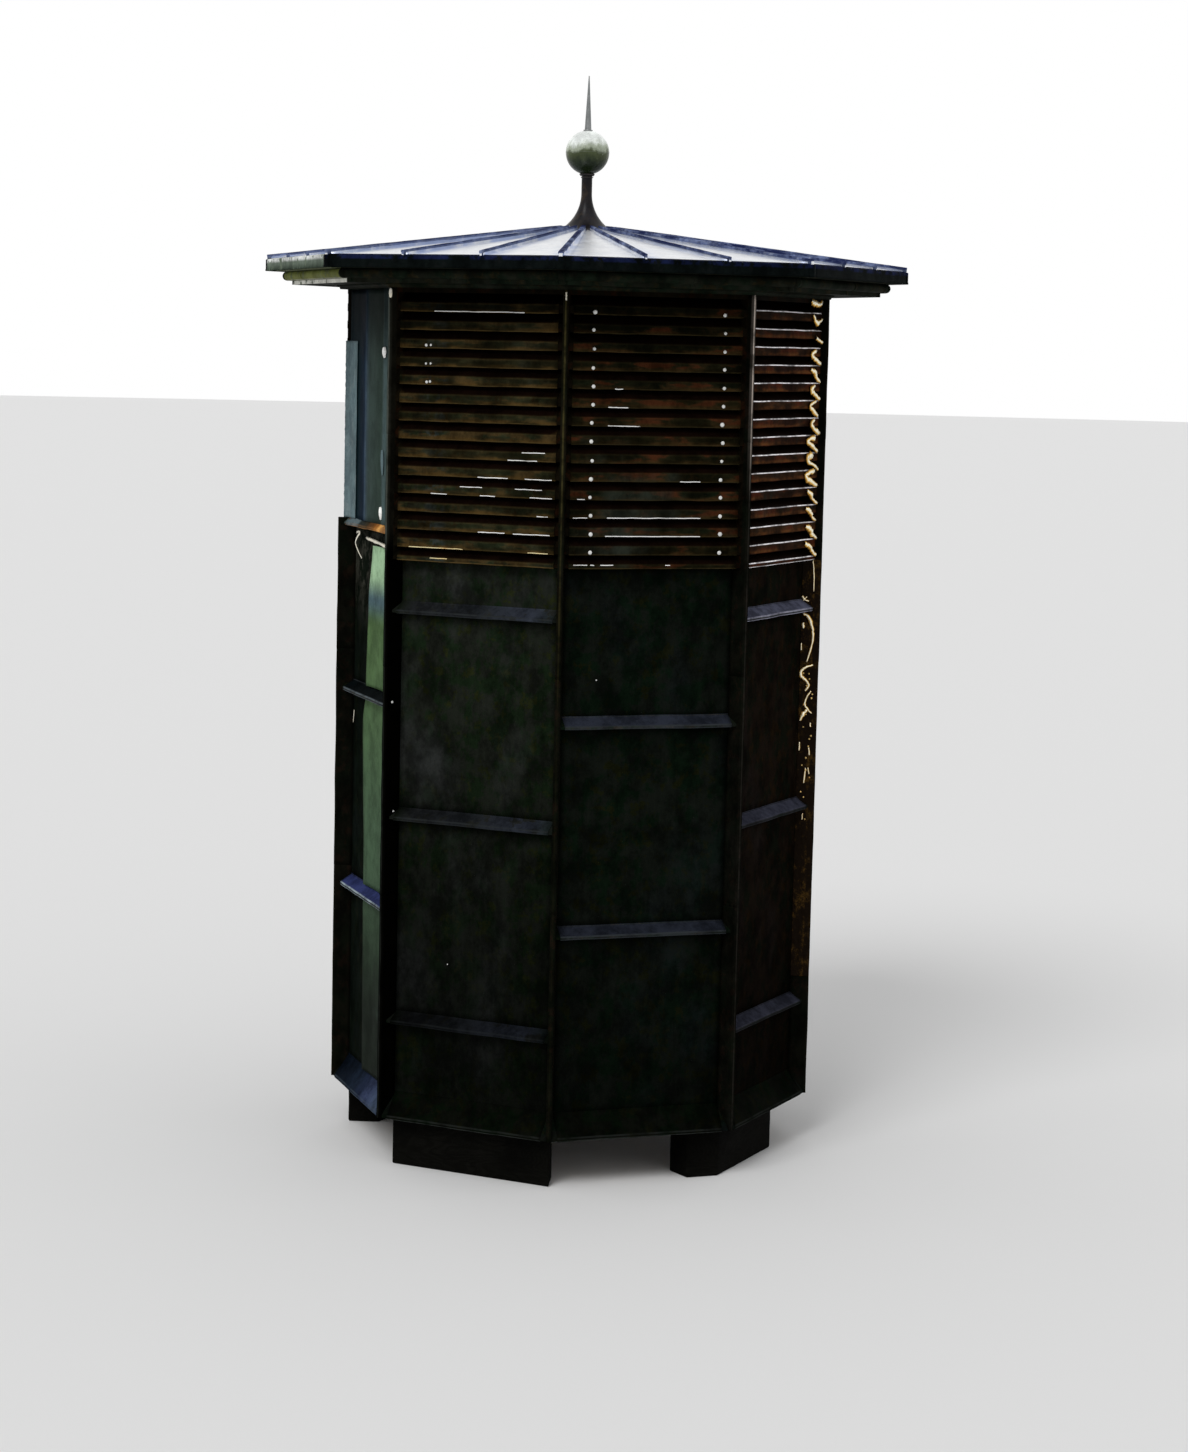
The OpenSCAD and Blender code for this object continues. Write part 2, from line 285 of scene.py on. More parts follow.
def face_wiring(bench, given):
    """Where a point lies by its face: across it in metres, how far out, how high, and which face."""
    x, y, z = bench.put("ShaderNodeSeparateXYZ", {0: bench.spot()})
    by_face = bench.math("DIVIDE", bench.math("ARCTAN2", x, bench.times(y, -1.0)), 2 * HALF)
    face = bench.math("ROUND", by_face)
    local = bench.times(bench.math("SUBTRACT", by_face, face), 2 * HALF)
    radius = bench.math("SQRT", bench.math("ADD", bench.times(x, x), bench.times(y, y)))
    across = bench.times(radius, bench.math("SINE", local))
    out = bench.times(radius, bench.math("COSINE", local))
    return {"Across": across, "Out": out, "Up": z, "Face": face}


def patina_wiring(bench, given):
    """Weathering of sheet copper: wide clouds, blotches, spots, flecks, bands, runs, grain and dents."""
    spot = bench.spot()
    return {
        "Cloud": bench.noise(spot, 2.6, 4.0, 0.6, (1.0, 1.0, 0.6)),
        "Blotch": bench.noise(spot, 12.0, 6.0, 0.72, (1.0, 1.0, 0.85), (2.3, 0.4, 1.1)),
        "Spot": bench.noise(spot, 19.0, 5.0, 0.7, (1.0, 1.0, 0.9), (0.2, 5.1, 2.6)),
        "Fleck": bench.noise(spot, 9.0, 7.0, 0.76, (1.0, 1.0, 0.75), (4.2, 3.3, 0.9)),
        "Band": bench.noise(spot, 1.0, 3.0, 0.55, (6.0, 6.0, 22.0), (0.9, 2.2, 3.3)),
        "Run": bench.noise(spot, 1.0, 4.0, 0.6, (38.0, 38.0, 1.6)),
        "Grain": bench.noise(spot, 190.0, 3.0, 0.65),
        "Dents": bench.noise(spot, 1.0, 2.0, 0.45, (5.2, 5.2, 3.1), (3.1, 1.7, 0.4)),
    }


def edge_wiring(bench, given):
    """Worn edges, with painted edge highlights or shade, from the sheet's own values, broken up along its
    length.
    """
    broken = bench.ramp(bench.noise(bench.spot(), 9.0, 5.0, 0.7), 0.36, 0.58)
    lit_or_worn = bench.times(bench.wear_and_light(), bench.line(broken, 0.75, 0.25))
    return {"Mask": bench.times(lit_or_worn, given["Amount"], clamp=True)}


def grain_wiring(bench, given):
    """Sawn softwood: growth rings drawn out along the run of the grain, and saw marks."""
    warp = bench.noise(given["Place"], 2.2, 3.0, 0.5, (1.0, 1.0, 0.25))
    bent = bench.put("ShaderNodeVectorMath", {0: given["Place"], 1: warp}, operation="ADD")[0]
    sockets = {"Vector": bent, "Scale": 26.0, "Distortion": 3.5, "Detail": 2.0, "Detail Scale": 1.6}
    rings = bench.put("ShaderNodeTexWave", sockets, wave_type="RINGS", rings_direction="Z")["Fac"]
    return {"Rings": rings, "Fibre": bench.noise(given["Place"], 1.0, 5.0, 0.65, (260.0, 260.0, 7.0))}


FACE_PLACE = make_group("face place", face_wiring, [])
PATINA = make_group("patina", patina_wiring, [])
EDGE_WEAR_AND_LIGHT = make_group("edge wear and light", edge_wiring, [("Amount", FLOAT, 1.0)])
WOOD_GRAIN = make_group("wood grain", grain_wiring, [("Place", "NodeSocketVector", (0.0, 0.0, 0.0))])


def new_material(name):
    """An empty material and a bench to wire it on."""
    material = bpy.data.materials.new(name)
    material.use_nodes = True
    material.node_tree.nodes.clear()
    return material, Bench(material.node_tree)


def copper_sheet(name, ground, blotch, spot, oxide_and_sheen, edge=(50, 50, 45), slope=None, rough=0.55,
                 metal=0.0, gloss=0.004, oxide_and_sheen_level=(0.55, 0.8), lean=None, runs=0.3, fleck=0.9,
                 rows=None, row_tone=None, band=None, bright_above=None, across_tones=None, foot=None,
                 hem_tone=None, bare=0.0, wavy=0.0):
    """Weathered copper: a ground tone with blotches and spots, oxide haze and painted sky sheen in clouds,
    and worn edges, with painted highlights or painted shade along some of them.

    A tone is three numbers, in thousandths. A list of (height, tone) as ground or slope changes it with
    the height, and across_tones, a list of (across, tone), takes the ground's place.
    wavy: how far the lines between the ground's tones by height rise and fall.
    slope: a painted tone on what looks up: painted shade on the louvres' slopes, painted sky reflection on
    the ribs' tops. band: a tone in long level patches.
    oxide_and_sheen_level: where in the clouds the oxide haze and painted sheen start and are full. lean:
    from where to where across the face they get thicker, and by how much.
    rows: first height and pitch of the louvres, each with some row_tone, and hem_tone patchy at its hem.
    runs, fleck: how strong the runs and the flecks are. gloss: the shader's specular level.
    foot: the heights where the sheet's tone is darkest and full, and the share of it kept at the darkest;
    reversed, it is painted shade under the eave.
    bright_above: a painted highlight: the heights where its edges are dull and bright, and their least
    share.
    bare: how far its worn or lit edges are metallic.
    """
    material, bench = new_material(name)
    patina = bench.group(PATINA)
    here = bench.group(FACE_PLACE)
    if isinstance(ground, list):
        height = bench.line(patina["Blotch"], wavy, here["Up"]) if wavy else here["Up"]
        ground = bench.stops(height, ground)
    if across_tones:
        ground = bench.stops(here["Across"], across_tones)
    tone = bench.mix(bench.ramp(patina["Blotch"], 0.46, 0.57), ground, blotch) if blotch else ground
    tone = bench.mix(bench.ramp(patina["Spot"], 0.54, 0.62), tone, spot) if spot else tone
    if rows:
        first, pitch = rows
        by_row = bench.math("DIVIDE", bench.math("SUBTRACT", here["Up"], first), pitch)
        key = bench.put("ShaderNodeCombineXYZ", {0: bench.math("FLOOR", by_row), 1: here["Face"]})[0]
        own = bench.put("ShaderNodeTexWhiteNoise", {0: key})["Value"]
        tone = bench.mix(bench.times(own, 0.85), tone, row_tone)
    if band:
        tone = bench.mix(bench.ramp(patina["Band"], 0.52, 0.62), tone, band)
    if hem_tone:
        patchy = bench.line(bench.ramp(patina["Band"], 0.38, 0.56), 0.8, 0.2)
        near_hem = bench.math("SUBTRACT", 1.0, bench.ramp(bench.math("FRACT", by_row), 0.03, 0.24))
        tone = bench.mix(bench.times(near_hem, patchy), tone, hem_tone)
        tone = bench.scaled(tone, bench.line(bench.ramp(patina["Band"], 0.38, 0.62), 0.7, 0.5))
    cloud = patina["Cloud"]
    if lean:
        start, end, amount = lean
        cloud = bench.line(bench.ramp(here["Across"], start, end), amount, cloud)
    # Oxide haze and painted sky sheen, laid on in clouds
    tone = bench.mix(bench.ramp(cloud, *oxide_and_sheen_level), tone, oxide_and_sheen)
    # Painted light or shade on what looks up: the slope tone
    if slope:
        painted_up_tone = bench.stops(here["Up"], slope) if isinstance(slope, list) else slope
        normal = bench.put("ShaderNodeNewGeometry")["Normal"]
        looks_up = bench.ramp(bench.put("ShaderNodeSeparateXYZ", {0: normal})[2], 0.25, 0.75)
        tone = bench.mix(looks_up, tone, painted_up_tone)
    level = bench.line(patina["Run"], runs, bench.line(patina["Grain"], 0.5, 0.75 - runs / 2))
    flecks = bench.ramp(patina["Fleck"], 0.36, 0.64)
    level = bench.times(level, bench.line(flecks, fleck, 1.0 - fleck / 2))
    # Darker by height: towards the foot, or, reversed, painted shade under the eave
    if foot:
        dark, full, share = foot
        level = bench.times(level, bench.line(bench.ramp(here["Up"], dark, full), 1 - share, share))
    tone = bench.scaled(tone, level)
    # Worn edges, and painted highlights or shade along edges; bright_above fades a painted highlight by
    # height
    edge_wear_and_light = bench.group(EDGE_WEAR_AND_LIGHT)["Mask"]
    if bright_above:
        dull, bright, least = bright_above
        edge_wear_and_light = bench.times(edge_wear_and_light, bench.line(bench.ramp(here["Up"], dull, bright), 1 - least, least))
    bench.shade(bench.line(patina["Grain"], 0.02, patina["Dents"]), 0.5, 0.02, {
        "Base Color": bench.mix(edge_wear_and_light, tone, edge),
        "Metallic": bench.line(edge_wear_and_light, bare, metal, clamp=True) if bare else metal,
        "Roughness": bench.line(patina["Blotch"], 0.3, rough - 0.15),
        "Specular IOR Level": gloss,
    })
    return material


def timber(name, light, dark, rough=0.75, along="up", gloss=0.2):
    """Sawn timber whose grain runs up the posts or round the ring beams."""
    material, bench = new_material(name)
    spot = bench.spot()
    if along == "round":
        here = bench.group(FACE_PLACE)
        spot = bench.put("ShaderNodeCombineXYZ", {0: here["Out"], 1: here["Up"], 2: here["Across"]})[0]
    grain = bench.group(WOOD_GRAIN, {"Place": spot})
    tone = bench.mix(bench.times(grain["Rings"], 0.7), light, dark)
    fine = bench.mix(bench.ramp(grain["Fibre"], 0.45, 0.8), tone, tuple(v * 0.6 for v in dark))
    stain = bench.ramp(bench.noise(spot, 3.0, 5.0, 0.6), 0.4, 0.75)
    bench.shade(bench.line(grain["Rings"], 0.3, grain["Fibre"]), 0.5, 0.002, {
        "Base Color": bench.mix(stain, fine, tuple(v * 0.5 for v in dark)),
        "Roughness": rough,
        "Specular IOR Level": gloss,
    })
    return material


def blade_finish(name, ground, blotch, row_tone, edge, band=(30, 10, 4), **more):
    """The louvres' brown copper, a little different on each blade, with painted shade: dark red on the
    slopes behind the aprons, and darker towards the head under the eave.
    """
    return copper_sheet(name, ground, blotch, (17, 12, 5), (16, 19, 14), edge,
                        slope=(4, 1.7, 1), rough=0.5, oxide_and_sheen_level=(0.56, 0.74), band=band, runs=0.4,
                        rows=(SILL_Z - BLADE_APRON, BLADE_PITCH), row_tone=row_tone, gloss=0.003,
                        foot=(HEAD_Z + 0.03, HEAD_Z - 0.3, 0.4), **more)


def fin_finish(name, edge, bright_above=None):
    return copper_sheet(name, (3.6, 3.6, 2.4), (2.5, 3.4, 2), (6, 4.2, 2.8),
                        (6, 6, 5.2), edge, gloss=0.001, bright_above=bright_above)


# The finish of each slot, then those of single faces, fins and pieces, with tones in thousandths.
# None stands for a tone left out.
FINISHES = {
    "wall_copper": copper_sheet(
        "wall_copper", (6.8, 8.2, 6.2), (3.6, 7.8, 4.2), (7.8, 9, 3.4), (10, 13.2, 14.2),
        oxide_and_sheen_level=(0.5, 0.8), gloss=0.003, foot=(0.2, 1.5, 0.6), runs=0.6),
    "fin_copper": fin_finish("fin_copper", (40, 38, 26)),
    "louvre_copper": blade_finish(
        "louvre_copper", (7.8, 8.8, 4.2), (4.6, 7, 3.4), (11, 8, 3), (40, 30, 12), hem_tone=(24, 14, 5)),
    "bare_sheet": copper_sheet(
        "bare_sheet", (52, 72, 64), (42, 60, 55), (62, 80, 62), (80, 100, 100), (450, 500, 480),
        rough=0.4),
    "pale_strip": copper_sheet(
        "pale_strip", (115, 165, 178), (95, 135, 150), (145, 190, 200), (150, 195, 205), (200, 240, 260),
        rough=0.65, fleck=0.4),
    "cornice_copper": copper_sheet(
        "cornice_copper", (8.5, 9.5, 6.5), (5.5, 9, 5.5), (14, 12, 6), (14, 16, 13), (50, 50, 38)),
    # The roof's edge tone is a painted blue reflection beside the seams, placed by roof_pans
    "roof_sheet": copper_sheet(
        "roof_sheet", (800, 810, 830), (740, 760, 790), (840, 850, 860), (860, 870, 880), (340, 420, 660),
        rough=0.34, metal=0.6, gloss=0.5, runs=0.1, fleck=0.1),
    "finial_copper": copper_sheet(
        "finial_copper", (14, 12, 13), (9, 9, 11), (26, 19, 14), (24, 24, 30), (100, 90, 85), rough=0.3,
        gloss=0.1),
    # Painted reflection: the ball's white top and dark green underside, split by a wavy line, stand for
    # the sky and trees
    "ball_metal": copper_sheet(
        "ball_metal", [(BALL[0].z + 0.09, (12, 20, 7)), (BALL[0].z + 0.135, (55, 70, 28)),
        (BALL[0].z + 0.155, (340, 380, 290)), (BALL[0].z + 0.195, (860, 900, 870))], None, None,
        (400, 430, 330), (300, 330, 250), rough=0.25, gloss=0.2, runs=0.1, fleck=0.5,
        oxide_and_sheen_level=(0.7, 0.95), wavy=0.11),
    "spike_metal": copper_sheet(
        "spike_metal", (220, 230, 230), (180, 190, 190), (280, 280, 260), (340, 350, 350),
        (500, 500, 500), rough=0.35, metal=0.9, gloss=0.4, runs=0.1, fleck=0.2),
    "frame_timber": timber("frame_timber", (420, 290, 150), (260, 160, 70)),
    "block_timber": timber("block_timber", (4.5, 4.4, 3.6), (2.2, 2.1, 1.6), 0.85, "round", 0.02),
}
PANEL_FINISHES = {
    # Painted shade: the front's copy of wall_copper is darker, as that face stands in shade
    FRONT: copper_sheet(
        "wall_copper_front", (4.2, 5.3, 4), (2.2, 5.1, 2.6), (5, 5.8, 2.1), (6.4, 8.6, 9.4),
        oxide_and_sheen_level=(0.5, 0.8), gloss=0.002, foot=(0.2, 1.5, 0.6), runs=0.6),
    # Its bright haze is mostly painted sky sheen; lean thickens it towards the face's left
    FRONT_LEFT: copper_sheet(
        "wall_copper_front_left", (9.2, 10.8, 8), (5.6, 10.8, 4.8), (10.8, 13.4, 4.4), (20.5, 22.2, 21.2),
        lean=(0.1, -0.32, 0.12), gloss=0.003, foot=(0.5, 2.4, 0.3), runs=0.6),
    # lean thickens the oxide haze and painted sheen towards the face's left
    FRONT_RIGHT: copper_sheet(
        "wall_copper_front_right", (6.4, 4.2, 2.8), (3.2, 3.8, 2.2), (8, 4.8, 2.2), (9, 6.6, 5.8),
        lean=(0.05, -0.3, 0.12), gloss=0.001, foot=(0.4, 1.6, 0.45), runs=0.6),
    LEFT: copper_sheet(
        "wall_copper_left", [(2.1, (3, 4.6, 3.5)), (2.4, (28, 28, 22))], (2.5, 4.2, 2.5), (5, 6, 3.5),
        (6, 8, 8), gloss=0.002),
}
# Painted sky reflection: the ribs' slope tone lies on their tops
RIB_TONES = ((20, 22, 24), (14, 19, 16), (26, 24, 20), (30, 33, 42))
RIB_COPPER = copper_sheet(
    "rib_copper", *RIB_TONES, (26, 30, 34), slope=(17, 20, 29), runs=0.1, foot=(0.1, 1.8, 0.45))
RIB_FINISHES = {
    # Painted highlight and reflection: bright lavender lips and tops, the lips bright only higher up
    FRONT_RIGHT: copper_sheet(
        "rib_copper_front_right", *RIB_TONES, (300, 300, 380), slope=(80, 85, 125),
        bright_above=(1.4, 2.1, 0.04), runs=0.1, foot=(1.2, 2.2, 0.3)),
    # Painted sky reflection: lavender lips and tops on the lower ribs, dark tops higher up
    LEFT: copper_sheet(
        "rib_copper_left", *RIB_TONES, (300, 360, 400), bright_above=(1.5, 1.2, 0.25), runs=0.1,
        slope=[(1.2, (24, 32, 100)), (1.5, (1.6, 2.6, 3))]),
    # Painted shade by the fins, darkest at the face's left end; the lips brighten upwards as a painted
    # highlight
    FRONT_LEFT: copper_sheet(
        "rib_copper_front_left", None, None, (14, 15, 13), (21, 24, 32), (20, 23, 24), gloss=0.002,
        foot=(0.3, 2.1, 0.3), oxide_and_sheen_level=(0.52, 0.78), bright_above=(0.5, 2.1, 0.25),
        across_tones=[(-0.36, (5, 7, 4)), (-0.26, (11, 12, 13)), (0, (13, 15, 17)), (0.24, (22, 26, 36)),
        (0.36, (12, 17, 16))]),
}
BLADE_FINISHES = {
    # Painted shade by the fins: the blades are darkest at both ends
    FRONT_LEFT: blade_finish(
        "louvre_copper_front_left", None, (13, 17, 8), (18, 16, 7), (90, 58, 20), band=(32, 21, 8),
        hem_tone=(44, 26, 8), across_tones=[(-0.36, (5, 5, 3)), (-0.25, (15, 16, 10)),
        (-0.2, (22, 29, 27)), (-0.155, (24, 31, 29)), (-0.12, (16, 16, 8)), (0.22, (19, 19, 9)),
        (0.36, (9, 8, 4))]),
    # Painted highlight: the folds are near white, partly bare metal
    FRONT_RIGHT: blade_finish(
        "louvre_copper_front_right", (26, 9, 5), (17, 7, 4), (34, 16, 6), (1000, 970, 1000),
        band=(40, 10, 4), hem_tone=(70, 26, 8), bare=0.7),
}
FLARE_COPPER = copper_sheet(
    "flare_copper", (2.4, 2.8, 1.9), (1.4, 3, 1.3), (3, 3.3, 1.4), (4, 4.5, 4), (26, 29, 27), gloss=0.002)
# Painted sky reflection: the left face's flare is lavender, lighter towards its right
FLARE_LEFT = copper_sheet(
    "flare_copper_left", None, None, None, (30, 42, 74), (60, 80, 100), gloss=0.002,
    oxide_and_sheen_level=(0.7, 0.95), across_tones=[(-0.2, (3, 5, 9)), (-0.08, (7, 12, 22)), (0.05, (10, 15, 32)),
    (0.12, (28, 38, 78)), (0.3, (38, 54, 88))])
NEW_SHEET = copper_sheet(
    "new_sheet", [(0.55, (10, 14, 10)), (1.25, (50, 88, 50)), (2.16, (70, 125, 50)),
    (2.26, (65, 110, 125)), (2.36, (290, 440, 270))], None, None, (100, 160, 120), (300, 320, 240),
    rough=0.45, fleck=0.5, oxide_and_sheen_level=(0.6, 0.8))
CREAM_EDGE = copper_sheet(
    "cream_edge", (800, 740, 600), (700, 660, 550), (860, 820, 720), (840, 820, 760), (900, 900, 850),
    rough=0.4, metal=0.2, gloss=0.4, fleck=0.2, runs=0.1)
# Painted light and shade: darker at the top in the eave's shade, a dark blue column that is partly painted
# shade, and pale crease lines and a pale column by fin 7 as painted highlights
BAY_SHEET = copper_sheet(
    "bay_sheet", None, None, None, (38, 52, 50), (300, 300, 300), fleck=0.4, oxide_and_sheen_level=(0.7, 0.95),
    foot=(3.46, 3.16, 0.3), across_tones=[(-0.23, (4, 12, 16)), (-0.14, (5, 12, 22)),
    (-0.106, (9, 20, 38)), (-0.088, (50, 76, 110)), (-0.068, (44, 65, 72)), (-0.03, (34, 52, 46)),
    (0.15, (26, 42, 34)), (0.195, (60, 90, 90)), (0.26, (44, 68, 64))])
BAY_APRON = copper_sheet(
    "bay_apron", None, None, (70, 30, 8), (110, 52, 16), (260, 130, 45), gloss=0.01, fleck=0.8,
    oxide_and_sheen_level=(0.62, 0.85), across_tones=[(-0.16, (75, 105, 115)), (-0.125, (12, 18, 16)),
    (-0.02, (24, 18, 8)), (0.04, (100, 38, 6)), (0.14, (300, 110, 16)), (0.19, (600, 300, 80)),
    (0.26, (220, 100, 30))])
RIVET_METAL = copper_sheet(
    "rivet_metal", (700, 700, 680), (620, 630, 620), (750, 740, 700), (860, 860, 860), (900, 900, 900),
    rough=0.35, gloss=0.4, fleck=0.2, runs=0.1)
# Painted highlights: white metal for glints on hems, folds and the bay's crease, gold for glints on the
# crumpled copper
GLINT_METAL = copper_sheet(
    "glint_metal", (800, 800, 770), None, (550, 540, 480), (900, 900, 900), (900, 900, 900), rough=0.4,
    gloss=0.3, runs=0.1)
GILT_GLINT_METAL = copper_sheet(
    "gilt_glint_metal", (700, 480, 170), None, (420, 200, 50), (850, 720, 400), (800, 700, 400), rough=0.4,
    gloss=0.2, runs=0.1)
EAVE_METAL = copper_sheet(
    "eave_metal", [(EAVE_Z - 0.016, (2.8, 4.2, 4)), (EAVE_Z - 0.008, (6, 9, 32))], (2.4, 3.6, 3.6),
    (4, 5, 5), (4, 5, 6), (100, 110, 150), gloss=0.005)
# Painted light: the left face's eave trim is pale, lightest towards its top, where the sky lights it
EAVE_LEFT = copper_sheet(
    "eave_metal_left", [(EAVE_Z - 0.044, (45, 62, 45)), (EAVE_Z - 0.018, (120, 150, 120)),
    (EAVE_Z - 0.004, (660, 680, 660))], None, (120, 150, 110), (160, 190, 160), (300, 300, 300),
    fleck=0.6, gloss=0.002, oxide_and_sheen_level=(0.7, 0.95))
# Painted light and shade on the seams: pale blue for the sky they reflect, dark navy as painted shadow on
# their turned edges
SEAM_METAL = copper_sheet(
    "seam_metal", (200, 250, 420), (150, 190, 340), (260, 300, 420), (240, 280, 440), (10, 15, 60),
    gloss=0.005, fleck=0.5)
# Painted light: the left face's cornice is pale and greenish where the sky lights it, palest at its foot
CORNICE_LEFT = copper_sheet(
    "cornice_copper_left", [(SOFFIT_Z + 0.006, (620, 620, 560)), (SOFFIT_Z + 0.014, (120, 130, 40)),
    (SOFFIT_Z + 0.04, (160, 180, 50)), (SOFFIT_Z + 0.052, (55, 65, 50)), (SOFFIT_Z + 0.07, (80, 90, 80))],
    None, (100, 120, 80), (120, 130, 110), (300, 300, 250), rough=0.5, fleck=0.5, oxide_and_sheen_level=(0.65, 0.9))
# Painted shade: a dark copper for the louvres' own parts, in shade inside the lantern and under the eave
PAINTED_SHADE_COPPER = copper_sheet(
    "painted_shade_copper", (5, 3.6, 1.8), (3.4, 2.8, 1.4), (9, 3.6, 1.4), (5, 4.5, 3), (12, 9, 5),
    gloss=0.005)
FIN_FINISHES = {
    # Painted highlight: fin 1's tip edge is pale, brightening from about 2.7 m up
    1: fin_finish("fin_copper_bright", (560, 480, 420), (2.66, 3.35, 0.02)),
    # Painted light: one side of fin 7 is pale grey where the sky lights it, and only above about 2.5 m
    7: copper_sheet(
        "fin_copper_grey_above", None, None, None, (30, 38, 34), (55, 60, 50), gloss=0.001,
        oxide_and_sheen_level=(0.75, 0.95), bright_above=(2.48, 2.62, 0.15), foot=(2.48, 2.62, 0.08),
        across_tones=[(-0.15, (6, 5.6, 3.8)), (0.15, (44, 55, 50))]),
    # Painted highlight: fin 8's tip edge brightens from about 1.7 m up
    8: fin_finish("fin_copper_olive", (44, 38, 14), (1.7, 3.1, 0.05)),
}


def crumpled_finish():
    """Bare copper with painted light and shade: dark in the hollows, through orange and gold, to cream
    glints on the ridges, by the sheet's own values.
    """
    material, bench = new_material("crumpled_copper")
    patina = bench.group(PATINA)
    level = bench.line(patina["Grain"], 0.35, bench.math("SUBTRACT", bench.wear_and_light(), 0.175))
    level = bench.line(patina["Spot"], 0.9, bench.math("SUBTRACT", level, 0.45))
    tone = bench.stops(level, [(0.14, (7, 4, 2)), (0.34, (62, 33, 7)), (0.52, (620, 310, 45)),
                               (0.7, (940, 660, 210)), (0.92, (1000, 950, 760))])
    bench.shade(patina["Dents"], 0.5, 0.01, {
        "Base Color": tone,
        "Metallic": bench.times(bench.ramp(level, 0.42, 0.72), 0.6),
        "Roughness": 0.4,
        "Specular IOR Level": 0.02,
    })
    return material


CRUMPLED = crumpled_finish()

for subpart in frame["record"]["subparts"]:
    node = subpart["node"]
    materials = frame["nodes"][node].data.materials
    materials.clear()
    # The CAD louvre nodes take the dark painted-shade copper
    materials.append(PAINTED_SHADE_COPPER if node.startswith("louvres_") else FINISHES[subpart["material_slot"]])


def new_object(name, data):
    made = bpy.data.objects.new(name, data)
    bpy.context.scene.collection.objects.link(made)
    return made


def add_piece(name, slot, *meshes, stands_for=()):
    """A finished piece that belongs to the cupola, of one mesh or several."""
    piece = new_object(name, joined(meshes) if len(meshes) > 1 else meshes[0])
    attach(piece, "root")
    if stands_for:
        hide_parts(*stands_for)


def applied(mesh, *modifiers):
    """The mesh with modifiers run over it: each is (kind, settings), a node tree's as (tree, inputs)."""
    carrier = new_object("carrier", mesh)
    for kind, settings in modifiers:
        if isinstance(kind, bpy.types.NodeTree):
            modifier = carrier.modifiers.new(kind.name, "NODES")
            modifier.node_group = kind
            for item in kind.interface.items_tree:
                if item.name in settings:
                    modifier[item.identifier] = settings[item.name]
            continue
        modifier = carrier.modifiers.new(kind, kind)
        for key, value in settings.items():
            setattr(modifier, key, value)
    graph = bpy.context.evaluated_depsgraph_get()
    made = bpy.data.meshes.new_from_object(carrier.evaluated_get(graph))
    bpy.data.objects.remove(carrier)
    return made


THICKNESS = ("SOLIDIFY", {"thickness": SHEET_T, "offset": -1.0})


def sheet_wiring(bench, given):
    """Sweeps a sheet's section along guide lines, with the small dents that hand folding leaves."""
    shape = bench.put("GeometryNodeObjectInfo", {0: given["Section"]})["Geometry"]
    outline = bench.put("GeometryNodeMeshToCurve", {0: shape})[0]
    lines = bench.put("GeometryNodeMeshToCurve", {0: given["Guides"]})[0]
    cut = bench.put("GeometryNodeSubdivideCurve", {0: lines, "Cuts": given["Cuts"]})[0]
    upright = bench.put("GeometryNodeSetCurveNormal", {0: cut}, mode="Z_UP")[0]
    sweep = bench.put("GeometryNodeCurveToMesh", {0: upright, 1: outline, "Fill Caps": True})[0]
    scale = bench.math("DIVIDE", 1.0, given["Dent Size"])
    spot = bench.put("GeometryNodeInputPosition")[0]
    sockets = {"Vector": spot, "W": given["Seed"], "Scale": scale, "Detail": 2.0}
    pattern = bench.put("ShaderNodeTexNoise", sockets, noise_dimensions="4D")["Color"]
    centred = bench.put("ShaderNodeVectorMath", {0: pattern, 1: (0.5, 0.5, 0.5)}, operation="SUBTRACT")[0]
    push = bench.scaled(centred, bench.times(given["Dent"], 4.0))
    dented = bench.put("GeometryNodeSetPosition", {0: sweep, "Offset": push})[0]
    smooth = bench.put("GeometryNodeSetShadeSmooth", {0: dented})[0]
    real = bench.put("GeometryNodeRealizeInstances", {0: smooth})[0]
    return {"Sheets": bench.put("GeometryNodeSetMaterial", {0: real, "Material": given["Finish"]})[0]}


def stud_wiring(bench, given):
    """Sets a low domed head on each point, turned to face the way that the point's sheet looks."""
    ball = bench.put("GeometryNodeMeshUVSphere", {"Segments": 10, "Rings": 6, "Radius": 1.0})[0]
    radius = given["Radius"]
    size = bench.put("ShaderNodeCombineXYZ", {0: radius, 1: radius, 2: given["Height"]})[0]
    dome = bench.put("GeometryNodeTransform", {0: ball, "Scale": size})[0]
    facing = bench.put("GeometryNodeInputNamedAttribute", {0: "facing"}, data_type="FLOAT_VECTOR")[0]
    turned = bench.put("FunctionNodeAlignRotationToVector", {"Vector": facing}, axis="Z")[0]
    limits = {"Min": 0.85, "Max": 1.15, "Seed": given["Seed"]}
    size = bench.put("FunctionNodeRandomValue", limits, data_type="FLOAT")[1]
    spots = bench.put("GeometryNodeMeshToPoints", {0: given["Points"]})[0]
    sockets = {"Points": spots, "Instance": dome, "Rotation": turned, "Scale": size}
    heads = bench.put("GeometryNodeInstanceOnPoints", sockets)[0]
    real = bench.put("GeometryNodeRealizeInstances", {0: heads})[0]
    smooth = bench.put("GeometryNodeSetShadeSmooth", {0: real})[0]
    return {"Heads": bench.put("GeometryNodeSetMaterial", {0: smooth, "Material": given["Finish"]})[0]}


